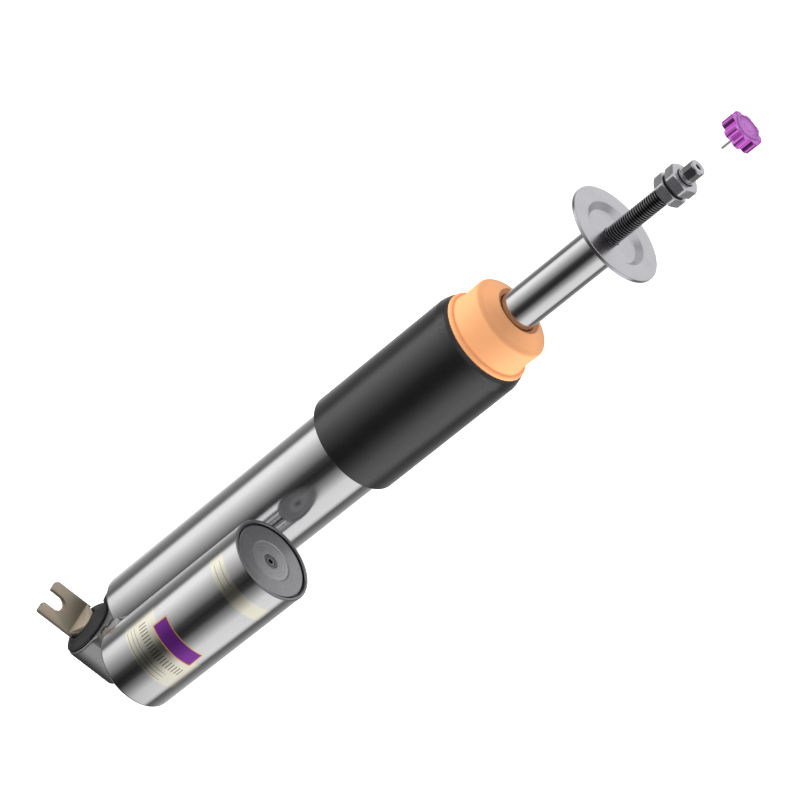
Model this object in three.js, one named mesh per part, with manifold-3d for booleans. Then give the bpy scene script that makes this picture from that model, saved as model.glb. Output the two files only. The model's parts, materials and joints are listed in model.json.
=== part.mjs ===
// A gas damper with a piggyback reservoir, as a tree of separate named pieces.
//
// Millimetres, +Z up. The origin is the centre of the lower eye. +Z runs along the damper
// towards the rod, +X points from the damper tube to the reservoir, and Y is the eye's axis.

import * as THREE from 'three';
import { mergeVertices } from 'three/addons/utils/BufferGeometryUtils.js';
import { ConvexGeometry } from 'three/addons/geometries/ConvexGeometry.js';
import Module from 'manifold-3d';

const wasm = await Module();
wasm.setup();

// ---- driving dimensions --------------------------------------------------------------

const GAP = 0.3;              // clearance between neighbouring pieces
const OVERCUT = 1;            // how far a cutter runs past the surface it opens

const EYE_R = 17.5;           // lower eye, outside
const EYE_HALF = 13;          // from its middle to the flange of its bush
const EYE_FAR = 17.2;         // from its middle to its plain end
const EYE_BORE_R = 14.3;
const BUSH_FLANGE_R = 16.6;
const BUSH_TIP_Y = 17.6;
const SLEEVE_R = 10;
const SLEEVE_HALF = 16;

const NECK_FOOT_X = 15.5;     // neck, from the eye to the damper tube
const NECK_FOOT_Z = [4, 8];
const NECK_R = 22.9;
const PAD_R = 22.4;           // pad under each tube
const PAD_LAYERS = [[9, -8.2], [15, -5], [21, -1.2], [PAD_R, 0]]; // radius, drop of each
const ARM_X = [4, 15];        // where the arm leaves the neck
const ARM_Z0 = 12;
const CAST_HALF = 12.6;       // half the width of the neck and arm
const SPIGOT_PLAY = 0.4;      // spigots that centre the two tubes
const TUBE_SPIGOT_H = 12;
const RES_SPIGOT_H = 9;
const PASSAGE_R = 3.4;        // drilled oil passages
const CROSS_PASSAGE_R = 2.4;
const PASSAGE_BEND = { x: 24, z: 25.2 };

const PIN_R = 8;              // bar pin: round middle
const PIN_COLLAR_R = 9;
const PIN_COLLAR_Y = 18.6;    // where the round part ends
const PIN_HALF = 44;          // half its length
const PLATE_W = 20.5;         // flattened ends
const PLATE_T = 5;
const PLATE_Y = 22;
const SLOT_W = 8.2;
const SLOT_Y = 31.8;          // closed end of the slot
const PLATE_TURN = THREE.MathUtils.degToRad(35);

const TUBE_R = 25;            // damper tube
const BORE_R = 23;
const TUBE_Z0 = 29.8;
const TUBE_Z1 = 258;
const TUBE_EDGE = 1.7;

const RES_X = 55.4;           // reservoir, beside the damper tube
const RES_R = 24.85;
const RES_BORE_R = 22.95;
const RES_Z0 = 42.5;
const RES_Z1 = 156;
const RES_EDGE = 1.8;
const CIRCLIP_Z = 152.2;
const CIRCLIP_T = 1.3;
const CIRCLIP_R = 23.6;
const CAP_R = 21.9;
const CAP_Z0 = 143;
const CAP_Z1 = 155;
const CAP_RECESS_R = 12;      // dished middle of the cap's face
const CAP_RECESS = 0.9;       // its depth
const VALVE_R = 4.1;          // gas valve

const DUST_R = 29.4;          // dust tube over the top of the damper tube
const DUST_BORE_R = 27.4;
const DUST_Z0 = 209;
const DUST_SHOULDER_Z = 304.5;
const DUST_Z1 = 310.8;
const DUST_MOUTH_R = 26.6;
const SEAT_Z0 = 236;          // ring that carries the dust tube
const SEAT_Z1 = 246;

const STOP_R = 24.1;          // bump stop
const STOP_LIP_R = 26.3;
const STOP_BORE_R = 11.8;
const STOP_Z0 = 261;
const STOP_Z1 = 335.6;

const ROD_R = 11;             // piston rod
const ROD_Z0 = 209.6;         // shoulder that clamps the piston and its shims
const ROD_Z1 = 401.1;         // shoulder under the support washer
const STUD_R = 4.9;           // threaded stud, M10
const STUD_Z1 = 456.6;
const TIP_R = 4.55;
const TIP_Z1 = 464.6;
const TIP_FLAT = 3.95;        // axis to each of its six flats
const TIP_FLAT_H = 6.8;
const TIP_TURN = THREE.MathUtils.degToRad(-22);
const NEEDLE_BORE_R = 2.4;
const KEY_BORE_R = 1.5;
const NEEDLE_TOP_Z = 454.4;
const SPIGOT_R = 7;           // rod end that carries the piston
const SPIGOT_Z0 = 174;

const WASHER_R = 29;          // support washer
const WASHER_T = 2.1;
const WASHER_DISH = 3;

const NUT_AF = 17;            // M10 nuts, across flats
const NUT_H = 6;
const LOWER_NUT_Z = 441.4;
const NUT_TURN = THREE.MathUtils.degToRad(8);
const LOCK_R = 8;             // lock washer between the nuts
const LOCK_T = 1.2;

const KNOB_R = 10.4;          // adjuster knob, drawn off the rod tip
const KNOB_VALLEY_R = 8.5;
const KNOB_LOBES = 8;
const KNOB_Z0 = 490.3;
const KNOB_Z1 = 498.3;
const KEY_R = 0.8;
const KEY_Z0 = 480.5;

const PISTON_R = 22.5;
const PISTON_Z0 = 192;
const PISTON_Z1 = 207;
const SPACER_Z1 = 219.3;      // spacer that carries the top-out stop
const GUIDE_Z0 = 232;
const GUIDE_Z1 = 252;

const FLOATER_Z0 = 82;        // floating piston at rest, rod out
const FLOATER_H = 18;

const ADJUSTER_Y = -EYE_HALF; // flat recess that carries the two compression adjusters
const ADJUSTER_L = 8;
const ADJUSTERS = [
	{ name: 'high_speed_adjuster', x: 14.9, z: 25.4, r: 2.5, turn: 0.5 },
	{ name: 'low_speed_adjuster', x: 16.9, z: 19.1, r: 2.2, turn: -0.9 },
];

const SEGMENTS = { large: 32, medium: 20, small: 14, tiny: 8 };

// ---- finishes ------------------------------------------------------------------------

const finish = (color, roughness, metalness) =>
	new THREE.MeshStandardMaterial({ color, roughness, metalness });

const POLISHED = finish(0xd2d3d5, 0.18, 1);
const CAST = finish(0x8f8f90, 0.5, 0.8);
const BLACK_TUBE = finish(0x2b2b2c, 0.4, 0.1);
const FOAM = finish(0xf5b37a, 0.75, 0);
const RUBBER = finish(0x161617, 0.7, 0);
const ZINC = finish(0xb9b8bd, 0.35, 0.9);
const YELLOW_ZINC = finish(0xa49a86, 0.4, 0.8);
const DARK_STEEL = finish(0x2c2c2e, 0.4, 0.9);
const PURPLE = finish(0xb84fd0, 0.25, 0.9);
const CAP_GREY = finish(0x808184, 0.35, 0.8);
const BRONZE = finish(0x9c7a4a, 0.4, 0.8);
const SEAL_BLACK = finish(0x0e0e0f, 0.6, 0);
const SPRING_STEEL = finish(0x6f7175, 0.3, 1);

// ---- geometry helpers ----------------------------------------------------------------

const V2 = (x, y) => new THREE.Vector2(x, y);
const V3 = (x, y, z) => new THREE.Vector3(x, y, z);

// Points on an arc about (x, y), angles in degrees.
function arc(x, y, r, from, to, steps = 4) {
	return Array.from({ length: steps + 1 }, (_, i) => {
		const a = THREE.MathUtils.degToRad(from + (to - from) * i / steps);
		return V2(x + r * Math.cos(a), y + r * Math.sin(a));
	});
}

// A closed mesh with shared vertices, no flat triangles and its faces pointing out.
function closed(geometry) {
	geometry.deleteAttribute('normal');
	geometry.deleteAttribute('uv');
	const merged = mergeVertices(geometry, 1e-3);
	const position = merged.getAttribute('position');
	const index = merged.getIndex().array;
	const corners = [V3(), V3(), V3()];
	const kept = [];
	let volume = 0;
	for (let i = 0; i < index.length; i += 3) {
		const [a, b, c] = [index[i], index[i + 1], index[i + 2]];
		if (a === b || b === c || c === a) continue;
		corners.forEach((corner, k) => corner.fromBufferAttribute(position, index[i + k]));
		volume += corners[0].dot(corners[1].cross(corners[2]));
		kept.push(a, b, c);
	}
	if (volume < 0) kept.reverse();
	merged.setIndex(kept);
	return merged;
}

// Revolves a profile of (radius, z) points about Z. The profile closes on itself or starts
// and ends on the axis.
function turned(profile, segments = SEGMENTS.medium) {
	const geometry = new THREE.LatheGeometry(profile, segments);
	geometry.rotateX(Math.PI / 2);
	return closed(geometry);
}

// A ring with small chamfers on its outer edges.
function ring(inner, outer, z0, z1, segments = SEGMENTS.medium, chamfer = 0) {
	const profile = [V2(inner, z0)];
	if (chamfer) {
		profile.push(V2(outer - chamfer, z0), V2(outer, z0 + chamfer));
		profile.push(V2(outer, z1 - chamfer), V2(outer - chamfer, z1));
	} else {
		profile.push(V2(outer, z0), V2(outer, z1));
	}
	profile.push(V2(inner, z1), V2(inner, z0));
	return turned(profile, segments);
}

function rod(radius, z0, z1, segments = SEGMENTS.medium) {
	return turned([V2(0, z0), V2(radius, z0), V2(radius, z1), V2(0, z1)], segments);
}

// Stands a shape turned about Z along Y instead: what was +Z becomes +Y.
const alongY = (geometry) => geometry.rotateX(-Math.PI / 2);

function box(x0, x1, y0, y1, z0, z1) {
	const geometry = new THREE.BoxGeometry(x1 - x0, y1 - y0, z1 - z0);
	geometry.translate((x0 + x1) / 2, (y0 + y1) / 2, (z0 + z1) / 2);
	return closed(geometry);
}

function circle(x, y, z, r, steps = SEGMENTS.small) {
	return Array.from({ length: steps }, (_, i) => {
		const a = 2 * Math.PI * i / steps;
		return V3(x + r * Math.cos(a), y + r * Math.sin(a), z);
	});
}

function hull(points) {
	return closed(new ConvexGeometry(points));
}

// A straight round bar between two points.
function bar(from, to, r, segments = SEGMENTS.tiny) {
	const direction = to.clone().sub(from);
	const geometry = new THREE.CylinderGeometry(r, r, direction.length(), segments);
	geometry.applyQuaternion(new THREE.Quaternion().setFromUnitVectors(V3(0, 1, 0),
		direction.clone().normalize()));
	geometry.translate(...from.clone().add(to).multiplyScalar(0.5).toArray());
	return closed(geometry);
}

function toSolid(geometry) {
	return new wasm.Manifold(new wasm.Mesh({
		numProp: 3,
		vertProperties: Float32Array.from(geometry.getAttribute('position').array),
		triVerts: Uint32Array.from(geometry.getIndex().array),
	}));
}

function toGeometry(solid) {
	const mesh = solid.getMesh();
	const geometry = new THREE.BufferGeometry();
	geometry.setAttribute('position', new THREE.BufferAttribute(mesh.vertProperties, 3));
	geometry.setIndex(Array.from(mesh.triVerts));
	return closed(geometry);
}

const joined = (...parts) => toGeometry(parts.map(toSolid).reduce((a, b) => a.add(b)));
const common = (a, b) => toGeometry(toSolid(a).intersect(toSolid(b)));
const cut = (part, ...tools) =>
	toGeometry(tools.reduce((solid, tool) => solid.subtract(toSolid(tool)), toSolid(part)));

// ---- the object ----------------------------------------------------------------------

const damper = new THREE.Group();

function add(parent, name, geometry, material) {
	geometry.computeVertexNormals();
	const mesh = new THREE.Mesh(geometry, material);
	mesh.name = name;
	parent.add(mesh);
	return mesh;
}

// ---- lower casting, eye and bar pin --------------------------------------------------

// The eye, the neck that spreads to the damper tube and the arm that carries the reservoir
// are one casting. Two spigots centre the tubes, and a drilled passage joins their bores.
function valveBlock() {
	const neckTop = TUBE_Z0 - GAP;
	const eye = alongY(turned([V2(0, -EYE_HALF), V2(EYE_R - 0.8, -EYE_HALF),
		V2(EYE_R, 0.8 - EYE_HALF), V2(EYE_R, EYE_FAR - 1.6), V2(EYE_R - 1.6, EYE_FAR),
		V2(0, EYE_FAR)], SEGMENTS.large));
	const padTop = RES_Z0 - GAP;
	const corners = (xs, zs) => xs.flatMap((x) => zs.flatMap((z) =>
		[V3(x, -CAST_HALF, z), V3(x, CAST_HALF, z)]));
	const neck = hull([...corners([-NECK_FOOT_X, NECK_FOOT_X], NECK_FOOT_Z),
		...circle(0, 0, neckTop - 2.4, NECK_R, SEGMENTS.medium),
		...circle(0, 0, neckTop, PAD_R, SEGMENTS.medium)]);
	const arm = cut(hull([...corners(ARM_X, [ARM_Z0, neckTop]),
		...PAD_LAYERS.flatMap(([r, drop]) =>
			circle(RES_X, 0, padTop + drop, r, SEGMENTS.medium))]),
	rod(TUBE_R + 0.5, neckTop, padTop + OVERCUT, SEGMENTS.large));
	const recess = box(-6, 25, -TUBE_R - OVERCUT, ADJUSTER_Y, 6, neckTop + OVERCUT);
	const tubeSpigotTop = TUBE_Z0 + TUBE_SPIGOT_H;
	const resSpigotTop = RES_Z0 + RES_SPIGOT_H;
	const tubeSpigot = rod(BORE_R - SPIGOT_PLAY, neckTop - OVERCUT, tubeSpigotTop, SEGMENTS.large);
	const resSpigot = rod(RES_BORE_R - SPIGOT_PLAY, padTop - OVERCUT, resSpigotTop, SEGMENTS.large);
	resSpigot.translate(RES_X, 0, 0);
	const passages = [
		bar(V3(0, 0, 20), V3(0, 0, tubeSpigotTop + OVERCUT), PASSAGE_R),
		bar(V3(-1, 0, 20), V3(PASSAGE_BEND.x + 1, 0, PASSAGE_BEND.z + 0.3), CROSS_PASSAGE_R),
		bar(V3(PASSAGE_BEND.x, 0, PASSAGE_BEND.z), V3(RES_X, 0, padTop - 2), CROSS_PASSAGE_R),
		bar(V3(RES_X, 0, padTop - 5), V3(RES_X, 0, resSpigotTop + OVERCUT), PASSAGE_R),
	];
	const bore = alongY(rod(EYE_BORE_R, -EYE_HALF - OVERCUT, EYE_FAR + OVERCUT, SEGMENTS.large));
	const relief = alongY(rod(BUSH_FLANGE_R + 0.7, -TUBE_R - OVERCUT, -EYE_HALF, SEGMENTS.large));
	const pockets = ADJUSTERS.map(({ x, z, r }) =>
		bar(V3(x, ADJUSTER_Y - OVERCUT, z), V3(x, -5, z), r + 0.35, SEGMENTS.small));
	const blank = joined(eye, neck, arm, tubeSpigot, resSpigot);
	return cut(blank, bore, recess, relief, ...passages, ...pockets);
}

// A rubber bush with one flange, pressed into the eye from the flange's side.
function lowerBush() {
	const inner = SLEEVE_R + GAP;
	const outer = EYE_BORE_R - GAP;
	const lip = PIN_COLLAR_R + 0.6;
	const flange = [V2(outer, EYE_HALF + 0.4), V2(BUSH_FLANGE_R, EYE_HALF + 0.4),
		...arc(BUSH_FLANGE_R - 1.4, EYE_HALF + 1.6, 1.4, 0, 70, 3),
		V2(lip + 0.7, BUSH_TIP_Y), V2(lip, BUSH_TIP_Y - 0.6), V2(lip, SLEEVE_HALF + GAP),
		V2(inner, SLEEVE_HALF + GAP)].map((p) => V2(p.x, -p.y)).reverse();
	const plainEnd = [V2(outer, BUSH_TIP_Y - 1), V2(outer - 1, BUSH_TIP_Y),
		V2(lip + 0.7, BUSH_TIP_Y), V2(lip, BUSH_TIP_Y - 0.6), V2(lip, SLEEVE_HALF + GAP),
		V2(inner, SLEEVE_HALF + GAP)];
	return alongY(turned([...flange, ...plainEnd, flange[0].clone()], SEGMENTS.medium));
}

const bushSleeve = () =>
	alongY(ring(PIN_R + GAP, SLEEVE_R, -SLEEVE_HALF, SLEEVE_HALF, SEGMENTS.medium));

// One forked end plate, in the plane of Y and the plate's width, open at +Y.
function forkPlate() {
	const w = PLATE_W / 2;
	const s = SLOT_W / 2;
	const corner = 1.2;
	const outline = new THREE.Shape([
		V2(-w, PIN_COLLAR_Y + 1), ...arc(-w + corner, PIN_HALF - corner, corner, 180, 90, 3),
		V2(-s, PIN_HALF), ...arc(0, SLOT_Y + s, s, 180, 360, 10), V2(s, PIN_HALF),
		...arc(w - corner, PIN_HALF - corner, corner, 90, 0, 3), V2(w, PIN_COLLAR_Y + 1),
	]);
	const geometry = new THREE.ExtrudeGeometry(outline, { depth: PLATE_T, bevelEnabled: false });
	geometry.translate(0, 0, -PLATE_T / 2);
	return closed(geometry);
}

// A steep shoulder leads from the round bar down to the flat plate.
function pinShoulder() {
	const round = circle(0, 0, 0, PIN_COLLAR_R, SEGMENTS.small).map((p) =>
		V3(p.x, PIN_COLLAR_Y, p.y));
	const flat = [-1, 1].flatMap((x) => [-1, 1].map((z) =>
		V3(x * (PLATE_W / 2 - 0.4), PLATE_Y + 0.4, z * (PLATE_T / 2 - 0.05))));
	return hull([...round, ...flat]);
}

function barPin() {
	const middle = alongY(turned([V2(0, -PIN_COLLAR_Y), V2(PIN_COLLAR_R, -PIN_COLLAR_Y),
		V2(PIN_COLLAR_R, -SLEEVE_HALF - 0.6), V2(PIN_R, -SLEEVE_HALF - 0.6),
		V2(PIN_R, SLEEVE_HALF + 0.6), V2(PIN_COLLAR_R, SLEEVE_HALF + 0.6),
		V2(PIN_COLLAR_R, PIN_COLLAR_Y), V2(0, PIN_COLLAR_Y)], SEGMENTS.small));
	const farEnd = joined(forkPlate(), pinShoulder());
	const nearEnd = farEnd.clone().rotateZ(Math.PI);
	return joined(middle, farEnd, nearEnd).rotateY(PLATE_TURN);
}

add(damper, 'valve_block', valveBlock(), CAST);
add(damper, 'lower_bush', lowerBush(), RUBBER);
add(damper, 'bush_sleeve', bushSleeve(), ZINC);
add(damper, 'bar_pin', barPin(), YELLOW_ZINC);

// A slotted screw that lies in the casting with its head at the adjuster face.
function adjusterScrew(r) {
	const body = alongY(turned([V2(0, -ADJUSTER_L), V2(r, -ADJUSTER_L), V2(r, -0.3),
		V2(r - 0.3, 0), V2(0, 0)], SEGMENTS.tiny));
	const slot = box(-r - OVERCUT, r + OVERCUT, -0.8, OVERCUT, -0.4, 0.4);
	return cut(body, slot).rotateZ(Math.PI);
}

// The heads point to -Y, out of the casting; the slots stand at different angles.
for (const { name, x, z, r, turn } of ADJUSTERS) {
	const screw = add(damper, name, adjusterScrew(r), ZINC);
	screw.position.set(x, ADJUSTER_Y - 0.5, z);
	screw.rotation.y = turn;
}

// ---- damper tube and its closure -----------------------------------------------------

function damperTube() {
	return turned([V2(BORE_R, TUBE_Z0), ...arc(TUBE_R - TUBE_EDGE, TUBE_Z0 + TUBE_EDGE,
		TUBE_EDGE, -90, 0), V2(TUBE_R, TUBE_Z1 - 0.8), V2(TUBE_R - 0.8, TUBE_Z1),
	V2(BORE_R, TUBE_Z1), V2(BORE_R, TUBE_Z0)], SEGMENTS.large);
}

// The guide is held between the circlip and a step; its bores take the bush, seal and wiper.
function rodGuide() {
	const groove = GUIDE_Z0 + 6;
	return turned([V2(13.4, GUIDE_Z0), V2(22.2, GUIDE_Z0), V2(BORE_R - 0.35, GUIDE_Z0 + 0.8),
		V2(BORE_R - 0.35, groove), V2(20.6, groove), V2(20.6, groove + 3),
		V2(BORE_R - 0.35, groove + 3), V2(BORE_R - 0.35, GUIDE_Z1), V2(17.3, GUIDE_Z1),
		V2(17.3, GUIDE_Z1 - 9), V2(13.4, GUIDE_Z1 - 9), V2(13.4, GUIDE_Z0)], SEGMENTS.medium);
}

function rodSeal() {
	const z0 = GUIDE_Z1 - 8.7;
	return turned([V2(11.5, z0 + 1.2), V2(13, z0), V2(17, z0), V2(17, z0 + 4), V2(12.2, z0 + 4),
		V2(11.5, z0 + 1.2)], SEGMENTS.medium);
}

function rodWiper() {
	const z0 = GUIDE_Z1 - 4.4;
	return turned([V2(12.3, z0), V2(17, z0), V2(17, z0 + 4.2), V2(14, z0 + 4.2),
		V2(11.5, z0 + 6.2), V2(12.3, z0)], SEGMENTS.medium);
}

add(damper, 'damper_tube', damperTube(), POLISHED);
add(damper, 'rod_guide', rodGuide(), CAP_GREY);
add(damper, 'guide_bush', ring(11.35, 13.1, GUIDE_Z0 + 0.2, GUIDE_Z1 - 9.6), BRONZE);
add(damper, 'guide_o_ring', ring(20.9, BORE_R - 0.3, GUIDE_Z0 + 6.4, GUIDE_Z0 + 8.6), SEAL_BLACK);
add(damper, 'rod_seal', rodSeal(), SEAL_BLACK);
add(damper, 'rod_wiper', rodWiper(), SEAL_BLACK);
add(damper, 'guide_circlip', ring(19, BORE_R - 0.3, GUIDE_Z1 + GAP, GUIDE_Z1 + 1.8), SPRING_STEEL);

// ---- dust tube and bump stop ---------------------------------------------------------

function dustTube() {
	const rise = DUST_Z1 - DUST_SHOULDER_Z;
	const reach = DUST_R - DUST_MOUTH_R - 0.3;
	const shoulder = Array.from({ length: 6 }, (_, i) => {
		const a = i / 5 * Math.PI * 0.42;
		return V2(DUST_R - reach * (1 - Math.cos(a)) / (1 - Math.cos(Math.PI * 0.42)),
			DUST_SHOULDER_Z + rise * Math.sin(a) / Math.sin(Math.PI * 0.42));
	});
	return turned([V2(DUST_BORE_R, DUST_Z0), V2(DUST_R - 1, DUST_Z0), V2(DUST_R, DUST_Z0 + 1),
		...shoulder, V2(DUST_MOUTH_R, DUST_Z1), V2(DUST_MOUTH_R, DUST_Z1 - 3),
		V2(DUST_BORE_R, DUST_SHOULDER_Z - 1), V2(DUST_BORE_R, DUST_Z0)], SEGMENTS.large);
}

// A foam cone with a lip under the dust tube's mouth and two waists hidden inside the tube.
function bumpStop() {
	return turned([V2(STOP_BORE_R, STOP_Z0), V2(20, STOP_Z0), V2(21.5, STOP_Z0 + 2),
		V2(21.5, STOP_Z0 + 10), V2(17.5, STOP_Z0 + 15), V2(23.5, STOP_Z0 + 20),
		V2(23.5, STOP_Z0 + 28), V2(19, STOP_Z0 + 33), V2(25, STOP_Z0 + 39),
		V2(STOP_LIP_R, STOP_Z0 + 44), V2(STOP_LIP_R, DUST_Z1),
		V2(25.4, DUST_Z1 + 1.2), V2(24.6, DUST_Z1 + 3), V2(STOP_R, DUST_Z1 + 6.4),
		V2(STOP_R, STOP_Z1 - 8.4), V2(23.3, STOP_Z1 - 6.6), V2(21.6, STOP_Z1 - 5.2),
		V2(13.8, STOP_Z1), V2(12.6, STOP_Z1 - 1.6), V2(STOP_BORE_R, STOP_Z1 - 3),
		V2(STOP_BORE_R, STOP_Z0)], SEGMENTS.medium);
}

add(damper, 'dust_tube', dustTube(), BLACK_TUBE);
add(damper, 'dust_tube_seat', ring(TUBE_R + GAP, DUST_BORE_R - GAP, SEAT_Z0, SEAT_Z1,
	SEGMENTS.large), SEAL_BLACK);
add(damper, 'bump_stop', bumpStop(), FOAM);

// ---- reservoir -----------------------------------------------------------------------

const reservoir = new THREE.Group();
reservoir.position.x = RES_X;
damper.add(reservoir);

function reservoirTube() {
	const rim = 0.7;
	return turned([V2(RES_BORE_R, RES_Z0), ...arc(RES_R - RES_EDGE, RES_Z0 + RES_EDGE, RES_EDGE,
		-90, 0), V2(RES_R, RES_Z1 - rim), V2(RES_R - rim, RES_Z1), V2(RES_BORE_R + 0.3, RES_Z1),
	V2(RES_BORE_R, RES_Z1 - 0.4), V2(RES_BORE_R, CIRCLIP_Z + CIRCLIP_T + GAP),
	V2(CIRCLIP_R + GAP, CIRCLIP_Z + CIRCLIP_T + GAP), V2(CIRCLIP_R + GAP, CIRCLIP_Z - GAP),
	V2(RES_BORE_R, CIRCLIP_Z - GAP), V2(RES_BORE_R, RES_Z0)], SEGMENTS.large);
}

// The cap sits under the circlip; its face has a shallow round recess and a valve bore.
function reservoirCap() {
	const shoulder = CIRCLIP_Z - GAP;
	const outer = RES_BORE_R - 0.35;
	const bore = VALVE_R + GAP;
	const groove = CAP_Z0 + 3;
	const floor = CAP_Z1 - CAP_RECESS;
	return turned([V2(bore, CAP_Z0), V2(outer - 0.6, CAP_Z0), V2(outer, CAP_Z0 + 0.6),
		V2(outer, groove), V2(20.4, groove), V2(20.4, groove + 2.8), V2(outer, groove + 2.8),
		V2(outer, shoulder), V2(CAP_R - 0.8, shoulder), V2(CAP_R - 0.8, CAP_Z1 - 1),
		V2(CAP_R, CAP_Z1 - 0.9), V2(CAP_R - 0.5, CAP_Z1), V2(CAP_RECESS_R + 2.3, CAP_Z1),
		V2(CAP_RECESS_R, floor), V2(bore, floor), V2(bore, CAP_Z0)], SEGMENTS.large);
}

function gasValve() {
	const foot = CAP_Z0 + 1;
	const top = CAP_Z1 - 0.5;
	return turned([V2(0, foot), V2(VALVE_R - 0.9, foot), V2(VALVE_R, foot + 1),
		V2(VALVE_R, top), V2(3.5, top), V2(3.2, top - 0.7), V2(2.9, top - 0.7), V2(2.7, top),
		V2(1.4, top), V2(1.4, top - 3.5), V2(0, top - 3.5)], SEGMENTS.small);
}

function floatingPiston() {
	const r = RES_BORE_R - 0.5;
	const z0 = FLOATER_Z0;
	const z1 = FLOATER_Z0 + FLOATER_H;
	return turned([V2(0, z0 + 6), V2(14, z0 + 6), V2(16, z0), V2(r, z0), V2(r, z0 + 3),
		V2(20.6, z0 + 3), V2(20.6, z0 + 8), V2(r, z0 + 8), V2(r, z0 + 11), V2(19.8, z0 + 11),
		V2(19.8, z0 + 14), V2(r, z0 + 14), V2(r, z1), V2(17, z1), V2(15, z0 + 12),
		V2(0, z0 + 12)], SEGMENTS.medium);
}

// Base valve: a ported disc on a bolt, with a stack of shims on each side.
function compressionValve() {
	const ports = Array.from({ length: 6 }, (_, i) => {
		const a = Math.PI * i / 3;
		const x = 13 * Math.cos(a);
		const y = 13 * Math.sin(a);
		return bar(V3(x, y, 55), V3(x, y, 70), 2.2, 12);
	});
	return cut(ring(4.6, RES_BORE_R - 0.4, 57, 66, SEGMENTS.medium, 0.6), ...ports);
}

// A pyramid of thin discs, widest against the valve it covers.
function shimStack(bore, widest, z, direction) {
	const steps = [0, 1, 2, 3].map((i) => ({ r: widest - 2.4 * i, z: z + direction * 0.5 * i }));
	const profile = [V2(bore, z)];
	for (const step of steps) {
		profile.push(V2(step.r, step.z), V2(step.r, step.z + direction * 0.5));
	}
	profile.push(V2(bore, z + direction * 2), V2(bore, z));
	return turned(profile, SEGMENTS.small);
}

function valveBolt(r, headR, z0, z1, head) {
	return turned([V2(0, z0), V2(headR, z0), V2(headR, z0 + head), V2(r, z0 + head), V2(r, z1),
		V2(0, z1)], SEGMENTS.small);
}

add(reservoir, 'reservoir_tube', reservoirTube(), POLISHED);
add(reservoir, 'reservoir_cap', reservoirCap(), CAP_GREY);
add(reservoir, 'cap_o_ring', ring(20.8, RES_BORE_R - 0.35, CAP_Z0 + 3.4, CAP_Z0 + 5.4),
	SEAL_BLACK);
add(reservoir, 'cap_circlip', ring(CAP_R - 0.5, CIRCLIP_R, CIRCLIP_Z, CIRCLIP_Z + CIRCLIP_T,
	SEGMENTS.large), DARK_STEEL);
add(reservoir, 'gas_valve', gasValve(), SPRING_STEEL);
add(reservoir, 'floating_piston', floatingPiston(), CAP_GREY);
add(reservoir, 'floating_piston_band', ring(20.9, RES_BORE_R - 0.3, FLOATER_Z0 + 3.3,
	FLOATER_Z0 + 7.7), BRONZE);
add(reservoir, 'floating_piston_o_ring', ring(20.1, RES_BORE_R - 0.3, FLOATER_Z0 + 11.4,
	FLOATER_Z0 + 13.6), SEAL_BLACK);
add(reservoir, 'compression_valve', compressionValve(), CAP_GREY);
add(reservoir, 'compression_shims', shimStack(4.6, 18, 66.3, 1), SPRING_STEEL);
add(reservoir, 'return_shims', shimStack(4.6, 18, 56.7, -1), SPRING_STEEL);
add(reservoir, 'compression_valve_bolt', valveBolt(4.2, 7, 52, 73, 2.4), ZINC);

// ---- piston and rod ------------------------------------------------------------------

// Everything here slides in and turns with the rod.
const rodGroup = new THREE.Group();
damper.add(rodGroup);

function hexagon(acrossFlats) {
	const corner = acrossFlats / Math.sqrt(3);
	return Array.from({ length: 6 }, (_, i) =>
		V2(corner * Math.cos(Math.PI * i / 3), corner * Math.sin(Math.PI * i / 3)));
}

function nut(acrossFlats, height, bore, turn) {
	const corner = acrossFlats / Math.sqrt(3);
	const prism = new THREE.ExtrudeGeometry(new THREE.Shape(hexagon(acrossFlats)),
		{ depth: height, bevelEnabled: false });
	const inset = acrossFlats / 2 - 0.3;
	const rise = (corner - inset) * 0.5;
	const chamfered = turned([V2(0, 0), V2(inset, 0), V2(corner + 0.1, rise),
		V2(corner + 0.1, height - rise), V2(inset, height), V2(0, height)], SEGMENTS.medium);
	const blank = common(closed(prism), chamfered);
	const hole = turned([V2(0, -OVERCUT), V2(bore, -OVERCUT), V2(bore, height + OVERCUT),
		V2(0, height + OVERCUT)], SEGMENTS.small);
	return cut(blank, hole).rotateZ(turn);
}

// Main rod, threaded stud, a six-sided tip and the lower spigot, drilled for the rebound
// needle.
function pistonRod() {
	const blank = turned([V2(NEEDLE_BORE_R, SPIGOT_Z0), V2(SPIGOT_R, SPIGOT_Z0),
		V2(SPIGOT_R, ROD_Z0), V2(ROD_R, ROD_Z0), V2(ROD_R, ROD_Z1 - 0.6),
		V2(ROD_R - 0.6, ROD_Z1), V2(STUD_R, ROD_Z1), V2(STUD_R, STUD_Z1 - 0.6),
		V2(TIP_R, STUD_Z1), V2(TIP_R, TIP_Z1 - 0.7), V2(TIP_R - 0.7, TIP_Z1),
		V2(KEY_BORE_R, TIP_Z1), V2(KEY_BORE_R, NEEDLE_TOP_Z + GAP + 0.9),
		V2(NEEDLE_BORE_R, NEEDLE_TOP_Z + GAP), V2(NEEDLE_BORE_R, SPIGOT_Z0)], SEGMENTS.medium);
	const flats = [0, 1, 2, 3, 4, 5].map((side) =>
		box(TIP_FLAT, 8, -8, 8, STUD_Z1 + 0.2, STUD_Z1 + TIP_FLAT_H)
			.rotateZ(TIP_TURN + side * Math.PI / 3));
	return cut(blank, ...flats);
}

function supportWasher() {
	const low = ROD_Z1 + GAP;
	const high = low + WASHER_DISH;
	const top = high + WASHER_T;
	return turned([V2(STUD_R + GAP, low), V2(15.2, low), V2(18.8, high), V2(WASHER_R - 0.5, high),
		V2(WASHER_R, high + 0.5), V2(WASHER_R, top - 0.5), V2(WASHER_R - 0.5, top), V2(19.6, top),
		V2(16, low + WASHER_T), V2(STUD_R + GAP, low + WASHER_T), V2(STUD_R + GAP, low)],
	SEGMENTS.large);
}

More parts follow.
